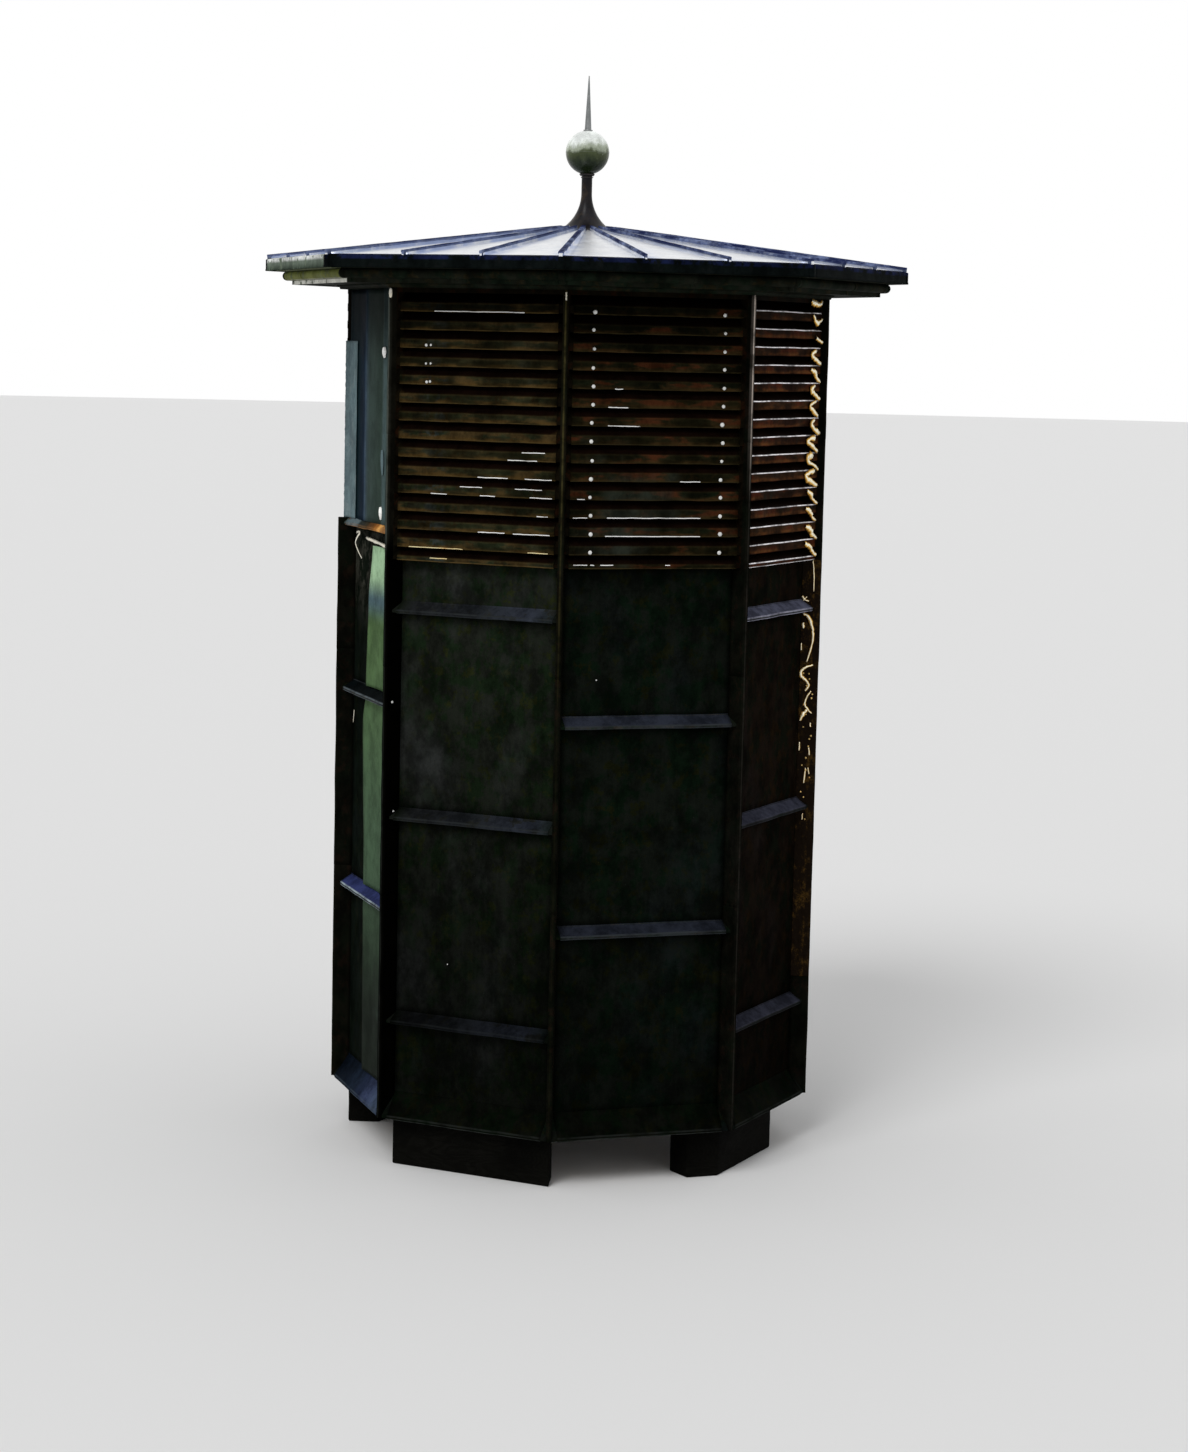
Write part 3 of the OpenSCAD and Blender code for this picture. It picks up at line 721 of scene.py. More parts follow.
FOLDED_SHEET = make_group("folded sheet", sheet_wiring, [
    ("Guides", GEOMETRY, None), ("Section", "NodeSocketObject", None), ("Cuts", "NodeSocketInt", 24),
    ("Dent", FLOAT, 0.001), ("Dent Size", FLOAT, 0.15), ("Seed", FLOAT, 0.0),
    ("Finish", "NodeSocketMaterial", None),
], "GeometryNodeTree", GEOMETRY)
STUD_HEADS = make_group("stud heads", stud_wiring, [
    ("Points", GEOMETRY, None), ("Radius", FLOAT, 0.006), ("Height", FLOAT, 0.003),
    ("Seed", "NodeSocketInt", 0), ("Finish", "NodeSocketMaterial", None),
], "GeometryNodeTree", GEOMETRY)


def section(corners, bend=0.002, fade=0.003):
    """A sheet's section through (out, up, wear_and_light) corners: each inner corner is a small round
    fold.

    The hem's points come first, so the glints of bare metal lie on the first fold.
    """
    line = [corners[0]]
    for before, here, after in zip(corners, corners[1:], corners[2:]):
        spot = Vector(here[:2])
        back = Vector(before[:2]) - spot
        on = Vector(after[:2]) - spot
        r = min(bend, 0.4 * back.length, 0.4 * on.length)
        start, end = spot + back.normalized() * r, spot + on.normalized() * r
        if back.length > 2 * r + fade:
            line.append((*(start + back.normalized() * fade), 0.0))
        for t in (0.0, 0.5, 1.0):
            line.append((*(start * (1 - t) ** 2 + spot * 2 * t * (1 - t) + end * t ** 2), here[2]))
        if on.length > 2 * r + fade:
            line.append((*(end + on.normalized() * fade), 0.0))
    return line + [corners[-1]]


def hem(out, up, r, edge_wear_and_light=1.0):
    """Corners of an edge folded back on itself, its bead at the bottom, from behind to the front."""
    return [(out - 0.007, up + 1.6 * r, 0.0), (out - 1.6 * r, up, 0.6 * edge_wear_and_light), (out, up, edge_wear_and_light)]


def bead(r, sides=8, wear_and_light=1.0):
    """A closed round section."""
    return [(spot.x, -spot.y, wear_and_light) for spot in circle(r, 0.0, sides)]


def folded(runs, line, finish, cuts=24, dent=0.001, dent_size=0.15, seed=0.0, closed=False):
    """Sheets with a section of (out, up, wear_and_light) points along runs of points; a closed one is
    solid.
    """
    outline = bpy.data.meshes.new("section")
    edges = [(i, i + 1) for i in range(len(line) - 1)]
    if closed:
        edges.append((len(line) - 1, 0))
    outline.from_pydata([(out, -up, 0.0) for out, up, lit_or_worn in line], edges, [])
    wear_and_light = outline.attributes.new("wear_and_light", "FLOAT", "POINT")
    for spot, (out, up, lit_or_worn) in zip(wear_and_light.data, line):
        spot.value = lit_or_worn
    pattern = new_object("section", outline)
    points, links = [], []
    for run in runs:
        first = len(points)
        points += run
        links += [(first + i, first + i + 1) for i in range(len(run) - 1)]
        if run[0] is run[-1]:
            points.pop()
            links[-1] = (links[-1][0], first)
    guides = bpy.data.meshes.new("guides")
    guides.from_pydata(points, links, [])
    inputs = {"Section": pattern, "Cuts": cuts, "Dent": dent, "Dent Size": dent_size, "Seed": seed,
              "Finish": finish}
    made = applied(guides, (FOLDED_SHEET, inputs), *([] if closed else [THICKNESS]))
    bpy.data.objects.remove(pattern)
    return made


def studs(spots, finish, radius, height, seed=0):
    """Domed heads at (point, direction) spots."""
    points = bpy.data.meshes.new("spots")
    points.from_pydata([point for point, facing in spots], [], [])
    facings = points.attributes.new("facing", "FLOAT_VECTOR", "POINT")
    for holder, (point, facing) in zip(facings.data, spots):
        holder.vector = facing
    inputs = {"Radius": radius, "Height": height, "Seed": seed, "Finish": finish}
    return applied(points, (STUD_HEADS, inputs))


def to_mesh(bm, *finishes):
    """The finished mesh of a bmesh, which is freed."""
    mesh = bpy.data.meshes.new("made")
    bm.to_mesh(mesh)
    bm.free()
    for finish in finishes:
        mesh.materials.append(finish)
    return mesh


def skin(sheets, finish, wear_and_light=None, thick=True):
    """One mesh from sheets of metal, each a grid of points in rows, with a wear_and_light value for each
    column.
    """
    bm = bmesh.new()
    layer = bm.verts.layers.float.new("wear_and_light")
    for rows in sheets:
        net = [[bm.verts.new(point) for point in row] for row in rows]
        for row in net:
            for i, vert in enumerate(row):
                vert[layer] = wear_and_light[i] if wear_and_light else 0.0
        for low, high in zip(net, net[1:]):
            for corners in zip(low, low[1:], high[1:], high):
                bm.faces.new(corners).smooth = True
    mesh = to_mesh(bm, finish)
    return applied(mesh, THICKNESS) if thick else mesh


def joined(meshes):
    """Several meshes as one, each with its own materials."""
    bm = bmesh.new()
    materials = []
    for mesh in meshes:
        known = len(bm.faces)
        bm.from_mesh(mesh)
        bm.faces.ensure_lookup_table()
        places = []
        for material in mesh.materials:
            if material not in materials:
                materials.append(material)
            places.append(materials.index(material))
        for face in bm.faces[known:]:
            face.material_index = places[min(face.material_index, len(places) - 1)]
    return to_mesh(bm, *materials)


def across_run(n, z):
    """A level line across face n from fin to fin."""
    wide = half_width(WALL_A)
    return [place(n, -wide, WALL_A, z), place(n, wide, WALL_A, z)]


def buckle(n, across, z, depth):
    """How far a sheet on face n stands off its boards at a point, from the way thin copper dents."""
    seed = Vector((across * 3.3 + 11.0 * n, z * 2.1, 4.7 * n))
    return depth * (0.5 + 0.5 * noise.noise(seed)) + 0.3 * depth * noise.noise(seed * 3.1)


def courses(n):
    """Lower and upper edge of each sheet course of a face."""
    ribs = rib_heights(n)
    lows = [BASE_Z + FLARE_H] + [z + RIB_H for z in ribs]
    return list(zip(lows, ribs + [HIGH_PANEL_Z if n == LEFT else PANEL_Z]))


# How far in from its fixed edges a wall's sheet is held flat, and how deep it dents
HELD_FLAT = 0.06
DENT_DEPTH = 0.007


def cladding(n):
    """The sheets of one face, course by course, dented between their fixed edges."""
    wide = half_width(WALL_A)
    sheets = []
    for low, high in courses(n):
        def point(z, across):
            rim = min(1.0, min(wide - abs(across), z - low, high - z) / HELD_FLAT)
            out = WALL_A + PROUD + buckle(n, across, z, DENT_DEPTH) * max(0.0, rim) ** 0.7
            return place(n, across, out, z)
        sheets.append(grid(steps(low + 0.001, high - 0.001, 22), steps(-wide, wide, 30), point))
    finish = PANEL_FINISHES.get(n, FINISHES["wall_copper"])
    add_piece("cladding_" + FACES[n], "wall_copper", skin(sheets, finish))


def cap_section(front, r, lip, lit_or_worn, near, far, top, flange):
    """The section of a drip cap: a hem, its lip, the slope back to the wall, and a flange up it."""
    corners = [(front, lip, lit_or_worn), (near + PROUD, top + 0.001, 0.0), (far + PROUD, top + flange, 0.0)]
    return section(hem(front, -0.002, r) + corners)


def rib_caps(n):
    """The folded copper caps of a face's drip ribs."""
    line = cap_section(RIB_OUT + PROUD, 0.0016, RIB_LIP, 1.0, 0.002, 0.001, RIB_H, 0.006)
    runs = [across_run(n, z) for z in rib_heights(n)]
    made = folded(runs, line, RIB_FINISHES.get(n, RIB_COPPER), dent=0.0014, seed=3.0 + n)
    add_piece("rib_caps_" + FACES[n], "wall_copper", made)


def flare_cap(n):
    """The flared skirt at the foot of a face, with a rubbed drip edge."""
    line = cap_section(FLARE_OUT + PROUD, 0.002, RIB_LIP, 0.4, 0.002, 0.001, FLARE_H, 0.010)
    finish = FLARE_LEFT if n == LEFT else FLARE_COPPER
    made = folded([across_run(n, BASE_Z)], line, finish, dent=0.0018, seed=13.0 + n)
    add_piece("flare_cap_" + FACES[n], "wall_copper", made)


def blade_sheets(n):
    """The louvres' copper: an apron with a hem, a fold, and the slope up behind the next apron."""
    bright = n == FRONT_RIGHT
    # On the front right the fold carries full wear_and_light, a painted highlight along it; elsewhere the
    # hem is worn
    fold_lit_or_worn, hem_lit_or_worn = (1.0, 0.0) if bright else (0.12, 0.6)
    slope = PROUD * 1.4
    corners = [(LIP_FRONT, slope, fold_lit_or_worn), (LIP_FRONT - BLADE_D, BLADE_RISE + slope, 0.0)]
    fold = {"bend": 0.0014, "fade": 0.0016} if bright else {"bend": 0.002, "fade": 0.004}
    blade = section(hem(LIP_FRONT, -BLADE_APRON - 0.002, 0.0018, hem_lit_or_worn) + corners, **fold)
    sill = section(hem(LIP_FRONT, -LIP_H - 0.002, 0.0015) + corners, **fold)
    finish = BLADE_FINISHES.get(n, FINISHES["louvre_copper"])
    runs = [across_run(n, blade_z(i)) for i in range(1, BLADES + 1)]
    blades = folded(runs, blade, finish, cuts=20, dent=0.0014, dent_size=0.12, seed=23.0 + n)
    board = folded([across_run(n, SILL_Z)], sill, finish, cuts=20, seed=33.0 + n)
    add_piece("louvre_sheets_" + FACES[n], "louvre_copper", blades, board)


# How long the lengths of a fin's cover are, how far they lap, and the round of their folds
COVER_LENGTH = 0.92
COVER_LAP = 0.012
TIP_FOLD = 0.003


def fin_cover(k):
    """Copper wrapped round a corner fin, with a worn tip that carries a painted highlight on some fins,
    and lapped joints.
    """
    tip = FIN_TIP + PROUD
    root = WALL_A / math.cos(HALF) - 0.004
    half = [(out, FIN_SIDE, 0.0) for out in steps(root, tip - 0.010, 5)]
    for a in steps(0, math.pi / 2, 3):
        out, side = tip - TIP_FOLD + TIP_FOLD * math.sin(a), FIN_SIDE - TIP_FOLD + TIP_FOLD * math.cos(a)
        half.append((out, side, 0.1))
    half += [(tip + 0.0003, 0.0038, 0.1), (tip + 0.0005, 0.0020, 1.0)]
    ring = half + [(out, -across, lit_or_worn) for out, across, lit_or_worn in reversed(half)]
    top = HIGH_PANEL_Z + APRON_H if k == LEFT else HEAD_Z
    sheets = []
    low = BASE_Z
    while low < top:
        high = min(top, low + COVER_LENGTH)

        def point(z, spot):
            out, across, lit_or_worn = spot
            lap = PROUD * 0.6 * (1 - (z - low) / (high - low))
            seed = Vector((out * 9.0, across * 20.0 + 5.0 * k, z * 5.0))
            stand = lap + 0.0016 * noise.noise(seed) + 0.0006 * noise.noise(seed * 4.0)
            return at_corner(k, -across - math.copysign(stand, across), out + stand, z)
        sheets.append(grid(steps(low - (COVER_LAP if low > BASE_Z else 0.0), high, 28), ring, point))
        low = high
    mesh = skin(sheets, FIN_FINISHES.get(k, FINISHES["fin_copper"]), [lit_or_worn for out, across, lit_or_worn in ring])
    add_piece("fin_cover_%d" % k, "fin_copper", mesh)


# Rivets that pin the louvres to their hangers: places across a face, how far below the fold, their radius
# and height, and the pairs of the front left face with the blades that have them
RIVET_ROWS = [-0.263, 0.273]
RIVET_DROP = 0.021
RIVET_R = 0.008
RIVET_H = 0.004
PAIRED_RIVETS = [-0.227, -0.209]
PAIRED_R = 0.0058
PAIRED_BLADES = (10, 11, 12)
RIVETED = [n for n in LOUVRED if n != FRONT_RIGHT]


def rivets(n):
    """Bright rivet heads on the aprons of one face."""
    paired = n == FRONT_LEFT
    rng = random.Random(70 + n)
    spots = []
    for i in range(1, BLADES + 1):
        z = blade_z(i) - RIVET_DROP
        if z > HEAD_Z - 0.01 or (paired and i not in PAIRED_BLADES):
            continue
        for across in (PAIRED_RIVETS if paired else RIVET_ROWS):
            beside = across + rng.uniform(-0.003, 0.003)
            spot = place(n, beside, WALL_A + LIP_FRONT, z + rng.uniform(-0.002, 0.002))
            spots.append((spot, outward(n)))
    mesh = studs(spots, RIVET_METAL, PAIRED_R if paired else RIVET_R, RIVET_H, n)
    add_piece("rivets_" + FACES[n], "spike_metal", mesh)


def between(places, t):
    """The value at t of a smooth line through (t, value) places in rising order of t."""
    if t <= places[0][0]:
        return places[0][1]
    for (t0, v0), (t1, v1) in zip(places, places[1:]):
        if t <= t1:
            f = (t - t0) / (t1 - t0)
            return v0 + (v1 - v0) * f * f * (3 - 2 * f)
    return places[-1][1]


# The new sheet beside corner 7: how far out it lies, its right edge, where its free edge lies at each
# height, and its curled top
NEW_SHEET_A = WALL_A + 0.0085
NEW_SHEET_RIGHT = half_width(WALL_A) - 0.004
NEW_SHEET_EDGE = [(0.2, -0.063), (1.09, -0.076), (1.75, -0.113), (1.88, -0.071), (2.255, -0.051),
                  (2.484, 0.008)]
NEW_SHEET_TOP = 2.484
CURL = 0.030
CURL_A = WALL_A + 0.010
CURL_EDGE = -0.105


def new_sheet():
    """A pale sheet laid over the left face beside its right fin."""
    def point(z, t):
        free = between(NEW_SHEET_EDGE, z) + 0.004 * wave(z * 9, 2, 5)
        across = free + (NEW_SHEET_RIGHT - free) * t
        lift = 0.010 * (1 - t) ** 6 + buckle(LEFT, across + 3.0, z, 0.004)
        return place(LEFT, across, NEW_SHEET_A + lift, z)

    spans = [(low + 0.004, min(high, NEW_SHEET_TOP) - 0.002) for low, high in courses(LEFT)]
    sheets = [grid(steps(low, high, 40), steps(0, 1, 18), point) for low, high in spans]
    add_piece("new_sheet", "bare_sheet", skin(sheets, NEW_SHEET))


def curled_top():
    """The new sheet's top edge, bent forward and over, highest at its free corner."""
    def point(turn, t):
        across = CURL_EDGE + (NEW_SHEET_RIGHT - CURL_EDGE) * t
        r = CURL * (0.20 + 0.08 * wave(across * 14, 1, 0))
        z = NEW_SHEET_TOP + 0.022 * (1 - t) + 0.004 * wave(across * 20, 7, 0) + r * math.sin(turn)
        return place(LEFT, across, CURL_A + r * (1 - math.cos(turn)), z)

    rows = grid(steps(0, 1.25 * math.pi, 14), steps(0, 1, 24), point)
    add_piece("curled_top", "bare_sheet", skin([rows], CREAM_EDGE))


# The paring of metal that hangs by the free corner, and the chip below it, as (across, out, height)
PARING = [(-0.247, 0.890, 2.519), (-0.200, 0.893, 2.526), (-0.168, 0.895, 2.523), (-0.192, 0.898, 2.508),
          (-0.220, 0.900, 2.480), (-0.186, 0.897, 2.447), (-0.145, 0.892, 2.420)]
CHIP = [(-0.305, 0.874, 1.773), (-0.312, 0.874, 1.748), (-0.319, 0.874, 1.720)]


def bowed(spot, side, wide, facing, bow):
    """Five points across a narrow strip that bows out along facing."""
    return [spot + side * wide * t / 2 + facing * bow * (1 - t * t) for t in steps(-1, 1, 4)]


def ribbon(points, wide, facing):
    """A narrow strip through points, its flat side looking along facing."""
    curve = []
    ends = [points[0], *points, points[-1]]
    for before, a, b, after in zip(ends, ends[1:], ends[2:], ends[3:]):
        for t in steps(0, 1, 5)[:-1]:
            bend = (2 * before - 5 * a + 4 * b - after) * t ** 2
            bend += (3 * a - before - 3 * b + after) * t ** 3
            curve.append(0.5 * (2 * a + (b - before) * t + bend))
    curve.append(points[-1])
    rows = []
    for i, spot in enumerate(curve):
        run = curve[min(i + 1, len(curve) - 1)] - curve[max(i - 1, 0)]
        taper = wide * (0.45 + 0.55 * math.sin(math.pi * min(1.0, 0.12 + i / len(curve))))
        rows.append(bowed(spot, facing.cross(run).normalized(), taper, facing, 0.2 * taper))
    return rows


def paring():
    ribbons = []
    for spots, wide in ((PARING, 0.009), (CHIP, 0.007)):
        ribbons.append(ribbon([place(LEFT, *spot) for spot in spots], wide, -outward(LEFT)))
    add_piece("paring", "bare_sheet", skin(ribbons, CREAM_EDGE))


# The plain sheet over the left bay: its distance out and that of the flap and the painted glints on it,
# where it is creased and how far each part stands out, and its painted highlights, as (across, height,
# length, width)
BAY_A = WALL_A + SHEET_OUT + PROUD
FLAP_A = BAY_A + 0.0065
BAY_GLINT_A = BAY_A + 0.007
BAY_CREASES = [(-0.34, 0), (-0.215, 0), (-0.093, 0.004), (-0.085, 0.0075), (-0.077, 0.003),
               (0.185, 0.001), (0.195, 0.006), (0.205, 0.0015), (0.34, 0)]
BAY_GLINTS = [(0.206, 3.262, 0.042, 0.045), (0.180, 2.622, 0.050, 0.036)]
BAY_SHEEN = [(0.194, 2.825, 0.100, 0.032)]


def bay_sheet():
    """The plain sheet nailed over the left bay, with its two creases."""
    wide = half_width(WALL_A + SHEET_OUT)

    def point(z, across):
        stand = 0.0
        for (c0, o0), (c1, o1) in zip(BAY_CREASES, BAY_CREASES[1:]):
            if c0 <= across <= c1:
                stand = o0 + (o1 - o0) * (across - c0) / (c1 - c0)
        return place(LEFT, across, BAY_A + stand + buckle(LEFT, across + 9.0, z, 0.003), z)

    creases = [across for across, out in BAY_CREASES if abs(across) < wide]
    columns = sorted(set(steps(-wide, wide, 26) + creases))
    rows = grid(steps(HIGH_PANEL_Z + APRON_H + 0.001, HEAD_Z - 0.001, 40), columns, point)
    add_piece("bay_sheet", "bare_sheet", skin([rows], BAY_SHEET))


def bay_apron():
    """The folded apron under the left bay's sheet, bare orange copper towards the right."""
    line = cap_section(LIP_FRONT, 0.0015, 0.007, 0.3, SHEET_OUT, SHEET_OUT, APRON_H, 0.010)
    made = folded([across_run(LEFT, HIGH_PANEL_Z)], line, BAY_APRON, dent=0.002, seed=51.0)
    add_piece("bay_apron", "bare_sheet", made)


def bay_glints():
    """Painted highlights along the bay sheet's crease: bright glints and a pale sheen."""
    meshes = []
    for marks, finish in ((BAY_GLINTS, GLINT_METAL), (BAY_SHEEN, FINISHES["pale_strip"])):
        ribbons = []
        for across, z, length, wide in marks:
            points = []
            for t in (-1, -0.3, 0.4, 1):
                points.append(place(LEFT, across + 0.004 * t, BAY_GLINT_A, z - length * t / 2))
            ribbons.append(ribbon(points, wide, outward(LEFT)))
        meshes.append(skin(ribbons, finish))
    add_piece("bay_glints", "bare_sheet", *meshes)


# The strip on the web over the short fin: the web's edge, the strip's height, which is shorter than its
# solid, and where its flap starts at the fin and ends on the bay's sheet
WEB_TIP = WALL_A / math.cos(HALF) + WEB_OUT
STRIP_LOW, STRIP_HIGH = STRIP[0].z, STRIP[1].z - 0.040
FLAP_START, FLAP_EDGE = -0.358, -0.230


def strip_flap():
    """The strip's flat side, lapped over the edge of the bay's sheet."""
    rows = []
    for z in steps(STRIP_LOW + 0.002, STRIP_HIGH, 90):
        row = [at_corner(LEFT, STRIP_T / 2 + PROUD, WEB_TIP + STRIP_WIDE - 0.001, z)]
        for across in steps(FLAP_START, FLAP_EDGE + 0.004 * wave(z * 55, 3, 0), 8):
            row.append(place(LEFT, across, FLAP_A + 0.0015 * wave(across * 20, z * 7, 6), z))
        rows.append(row)
    add_piece("strip_flap", "pale_strip", skin([rows], FINISHES["pale_strip"]))


def ragged_strip():
    """The sawn strip fixed to the web over the short fin, with rough edges."""
    near, far, side = WEB_TIP, WEB_TIP + STRIP_WIDE, STRIP_T / 2
    bm = bmesh.new()
    rings = []
    for z in steps(STRIP_LOW, STRIP_HIGH, 90):
        a, b, c, d = [0.0022 * wave(z * 60, 10 * i, 0) for i in range(4)]
        corners = [(near + a * 0.2, -side - b * 0.3), (far + c, -side + a * 0.4),
                   (far + d, side + b * 0.4), (near + a * 0.2, side - c * 0.3)]
        rings.append([bm.verts.new(at_corner(LEFT, across, out, z)) for out, across in corners])
    for below, above in zip(rings, rings[1:]):
        for i in range(4):
            j = (i + 1) % 4
            bm.faces.new((below[i], below[j], above[j], above[i]))
    bm.faces.new(rings[0][::-1])
    bm.faces.new(rings[-1])
    bmesh.ops.recalc_face_normals(bm, faces=bm.faces)
    mesh = to_mesh(bm, FINISHES["pale_strip"])
    add_piece("ragged_strip", "pale_strip", mesh, stands_for=["edge_strip"])


# The crumpled copper beside fin 2: where it starts on the fin's side, how low it reaches, and how far off
# the fin's middle plane its sheet, its ridges and its flakes lie
CRUMPLE_IN = 0.925
CRUMPLE_LOW = 0.70
CRUMPLE_SIDE = -FIN_T / 2 - 0.0024
RIDGE_SIDE = -FIN_T / 2 - 0.0052
FLAKE_SIDE = -FIN_T / 2 - 0.0062
FLAKES = 22
FLAKES_TOP, FLAKES_LOW = 2.00, 1.34
# Its bare ridges below the louvres, which carry painted glints, from the top down, as (out, height, width)
# along each
STRANDS = [
    [(0.972, 2.450, 0.004), (0.978, 2.388, 0.005), (0.979, 2.320, 0.003)],
    [(0.932, 2.300, 0.007), (0.944, 2.284, 0.008), (0.960, 2.279, 0.004)],
    [(0.936, 2.280, 0.005), (0.951, 2.297, 0.005)],
    [(0.938, 2.228, 0.010), (0.960, 2.214, 0.018), (0.976, 2.176, 0.014), (0.982, 2.135, 0.010),
     (0.975, 2.084, 0.009), (0.958, 2.025, 0.005)],
    [(0.939, 2.190, 0.010), (0.941, 2.166, 0.010)],
    [(0.934, 2.104, 0.005), (0.935, 2.075, 0.005)],
    [(0.985, 2.014, 0.006), (0.957, 2.004, 0.009), (0.937, 1.987, 0.012), (0.938, 1.966, 0.016),
     (0.957, 1.950, 0.012), (0.970, 1.928, 0.010), (0.955, 1.905, 0.007)],
    [(0.980, 1.905, 0.006), (0.964, 1.880, 0.007), (0.956, 1.850, 0.008), (0.969, 1.828, 0.009),
     (0.985, 1.812, 0.005)],
    [(0.966, 1.826, 0.009), (0.951, 1.808, 0.018), (0.938, 1.780, 0.008)],
    [(0.981, 1.772, 0.007), (0.982, 1.755, 0.007)],
    [(0.939, 1.690, 0.005), (0.938, 1.655, 0.006)],
    [(0.978, 1.668, 0.005), (0.981, 1.637, 0.007)],
    [(0.967, 1.582, 0.004), (0.964, 1.548, 0.008), (0.961, 1.519, 0.005)],
    [(0.977, 1.584, 0.004), (0.982, 1.557, 0.006)],
    [(0.960, 1.392, 0.004), (0.959, 1.365, 0.005)],
]


def torn_strand(points, widths, facing, seed):
    """A strip of torn metal through points, its width and its edges uneven."""
    rows = ribbon(points, 1.0, facing)
    ragged = []
    for i, row in enumerate(rows):
        reach = i / max(1, len(rows) - 1) * (len(widths) - 1)
        low = min(int(reach), len(widths) - 2)
        wide = widths[low] + (widths[low + 1] - widths[low]) * (reach - low)
        wide *= 1.0 + 0.5 * wave(i * 0.45, seed, 0)
        side = (row[-1] - row[0]).normalized()
        spot = (row[0] + row[-1]) / 2 + side * 0.25 * wide * wave(i * 0.8, 5, seed)
        ragged.append(bowed(spot, side, wide, facing, 0.3 * wide * (1.0 + 0.6 * wave(i * 0.6, 9, seed))))
    return ragged


# Its pieces in front of the louvres, each as (place across it, rise to the next blade, width): the three
# beside the top blades, the shapes that the others take, and how far out and between which places they lie
TOP_HOOKS = [
    [(0.05, 0.95, 0.016), (0.20, 0.62, 0.022), (0.65, 0.50, 0.018), (0.90, 0.92, 0.012)],
    [(0.25, 0.98, 0.012), (0.50, 0.45, 0.024), (0.95, 0.66, 0.010)],
    [(0.40, 0.66, 0.012), (0.70, 0.52, 0.014), (1.00, 0.38, 0.016)],
]
HOOKS = [
    [(0.48, 0.90, 0.014), (0.14, 0.66, 0.018), (0.50, 0.38, 0.020), (0.92, 0.12, 0.012)],
    [(0.60, 0.94, 0.016), (0.02, 0.70, 0.014), (0.40, 0.42, 0.026), (0.85, 0.16, 0.014)],
    [(0.32, 0.86, 0.026), (0.04, 0.76, 0.018), (0.22, 0.46, 0.014), (0.60, 0.30, 0.010),
     (1.00, 0.06, 0.012)],
    [(0.10, 0.84, 0.012), (0.45, 0.62, 0.030), (0.60, 0.34, 0.018), (1.00, 0.10, 0.010)],
]
HOOK_A = WALL_A + LIP_OUT + 0.0045
HOOK_LEFT, HOOK_RIGHT = 0.215, 0.352


def louvre_crumples():
    """The torn pieces in front of the louvres, one to a blade, as points and widths."""
    rng = random.Random(12)
    pieces = []
    for i in range(BLADES, -1, -1):
        shape = TOP_HOOKS[BLADES - i] if BLADES - i < len(TOP_HOOKS) else HOOKS[rng.randrange(len(HOOKS))]
        left = HOOK_LEFT + rng.uniform(-0.01, 0.02)
        right = HOOK_RIGHT + rng.uniform(-0.012, 0.006)
        points, widths = [], []
        for t, rise, wide in shape:
            z = blade_z(i + rise) + rng.uniform(-0.003, 0.003)
            out = HOOK_A + rng.uniform(-0.001, 0.003)
            points.append(place(FRONT_RIGHT, left + (right - left) * t, out, min(z, HEAD_Z - 0.008)))
            widths.append(wide * rng.uniform(0.95, 1.6))
        pieces.append((points, widths))
    return pieces


def crumpled_strip():
    """Bare copper beaten over the edge of fin 2: torn ridges and flakes on a dull crumpled sheet, with
    painted gold and cream glints on the ridges and flakes.
    """
    def point(z, out):
        crumple = 0.0042 * abs(wave(out * 45, z * 26, 4)) + 0.0016 * abs(wave(out * 130, z * 80, 8))
        rise = min(1.0, (out - CRUMPLE_IN) / 0.008)
        return at_corner(2, CRUMPLE_SIDE - crumple * rise, out, z)

    columns = steps(CRUMPLE_IN, FIN_TIP - 0.001, 16)
    rows = grid(steps(CRUMPLE_LOW, SILL_Z - 0.016, 340), columns, point)
    backing = skin([rows[::-1]], CRUMPLED, [0.12 + 0.14 * abs(wave(out * 70, 0, 0)) for out in columns])
    facing = -at_corner(2, 1.0, 0.0, 0.0)
    ahead = outward(FRONT_RIGHT)
    strands = [torn_strand(*piece, ahead, 40.0 + seed) for seed, piece in enumerate(louvre_crumples())]
    for seed, strand in enumerate(STRANDS):
        line = [at_corner(2, RIDGE_SIDE, out, z) for out, z, wide in strand]
        strands.append(torn_strand(line, [wide for out, z, wide in strand], facing, 10.0 + seed))
    # Painted glints: each strand's middle carries the most wear_and_light, which the crumpled finish turns
    # cream
    bright = skin(strands, CRUMPLED, [0.30, 0.66, 1.25, 0.66, 0.30])
    flakes = []
    rng = random.Random(31)
    for i in range(FLAKES):
        z = FLAKES_TOP - (FLAKES_TOP - FLAKES_LOW) * (i / FLAKES) ** 1.3
        out = rng.uniform(0.934, 0.986)
        spot = at_corner(2, FLAKE_SIDE, out, z + rng.uniform(-0.015, 0.015))
        flakes.append((spot, facing + ahead * rng.uniform(-0.4, 0.4)))
    # The flakes are painted gold glints
    heads = studs(flakes, GILT_GLINT_METAL, 0.0036, 0.003, 8)
    add_piece("crumpled_strip", "fin_copper", backing, bright, heads)


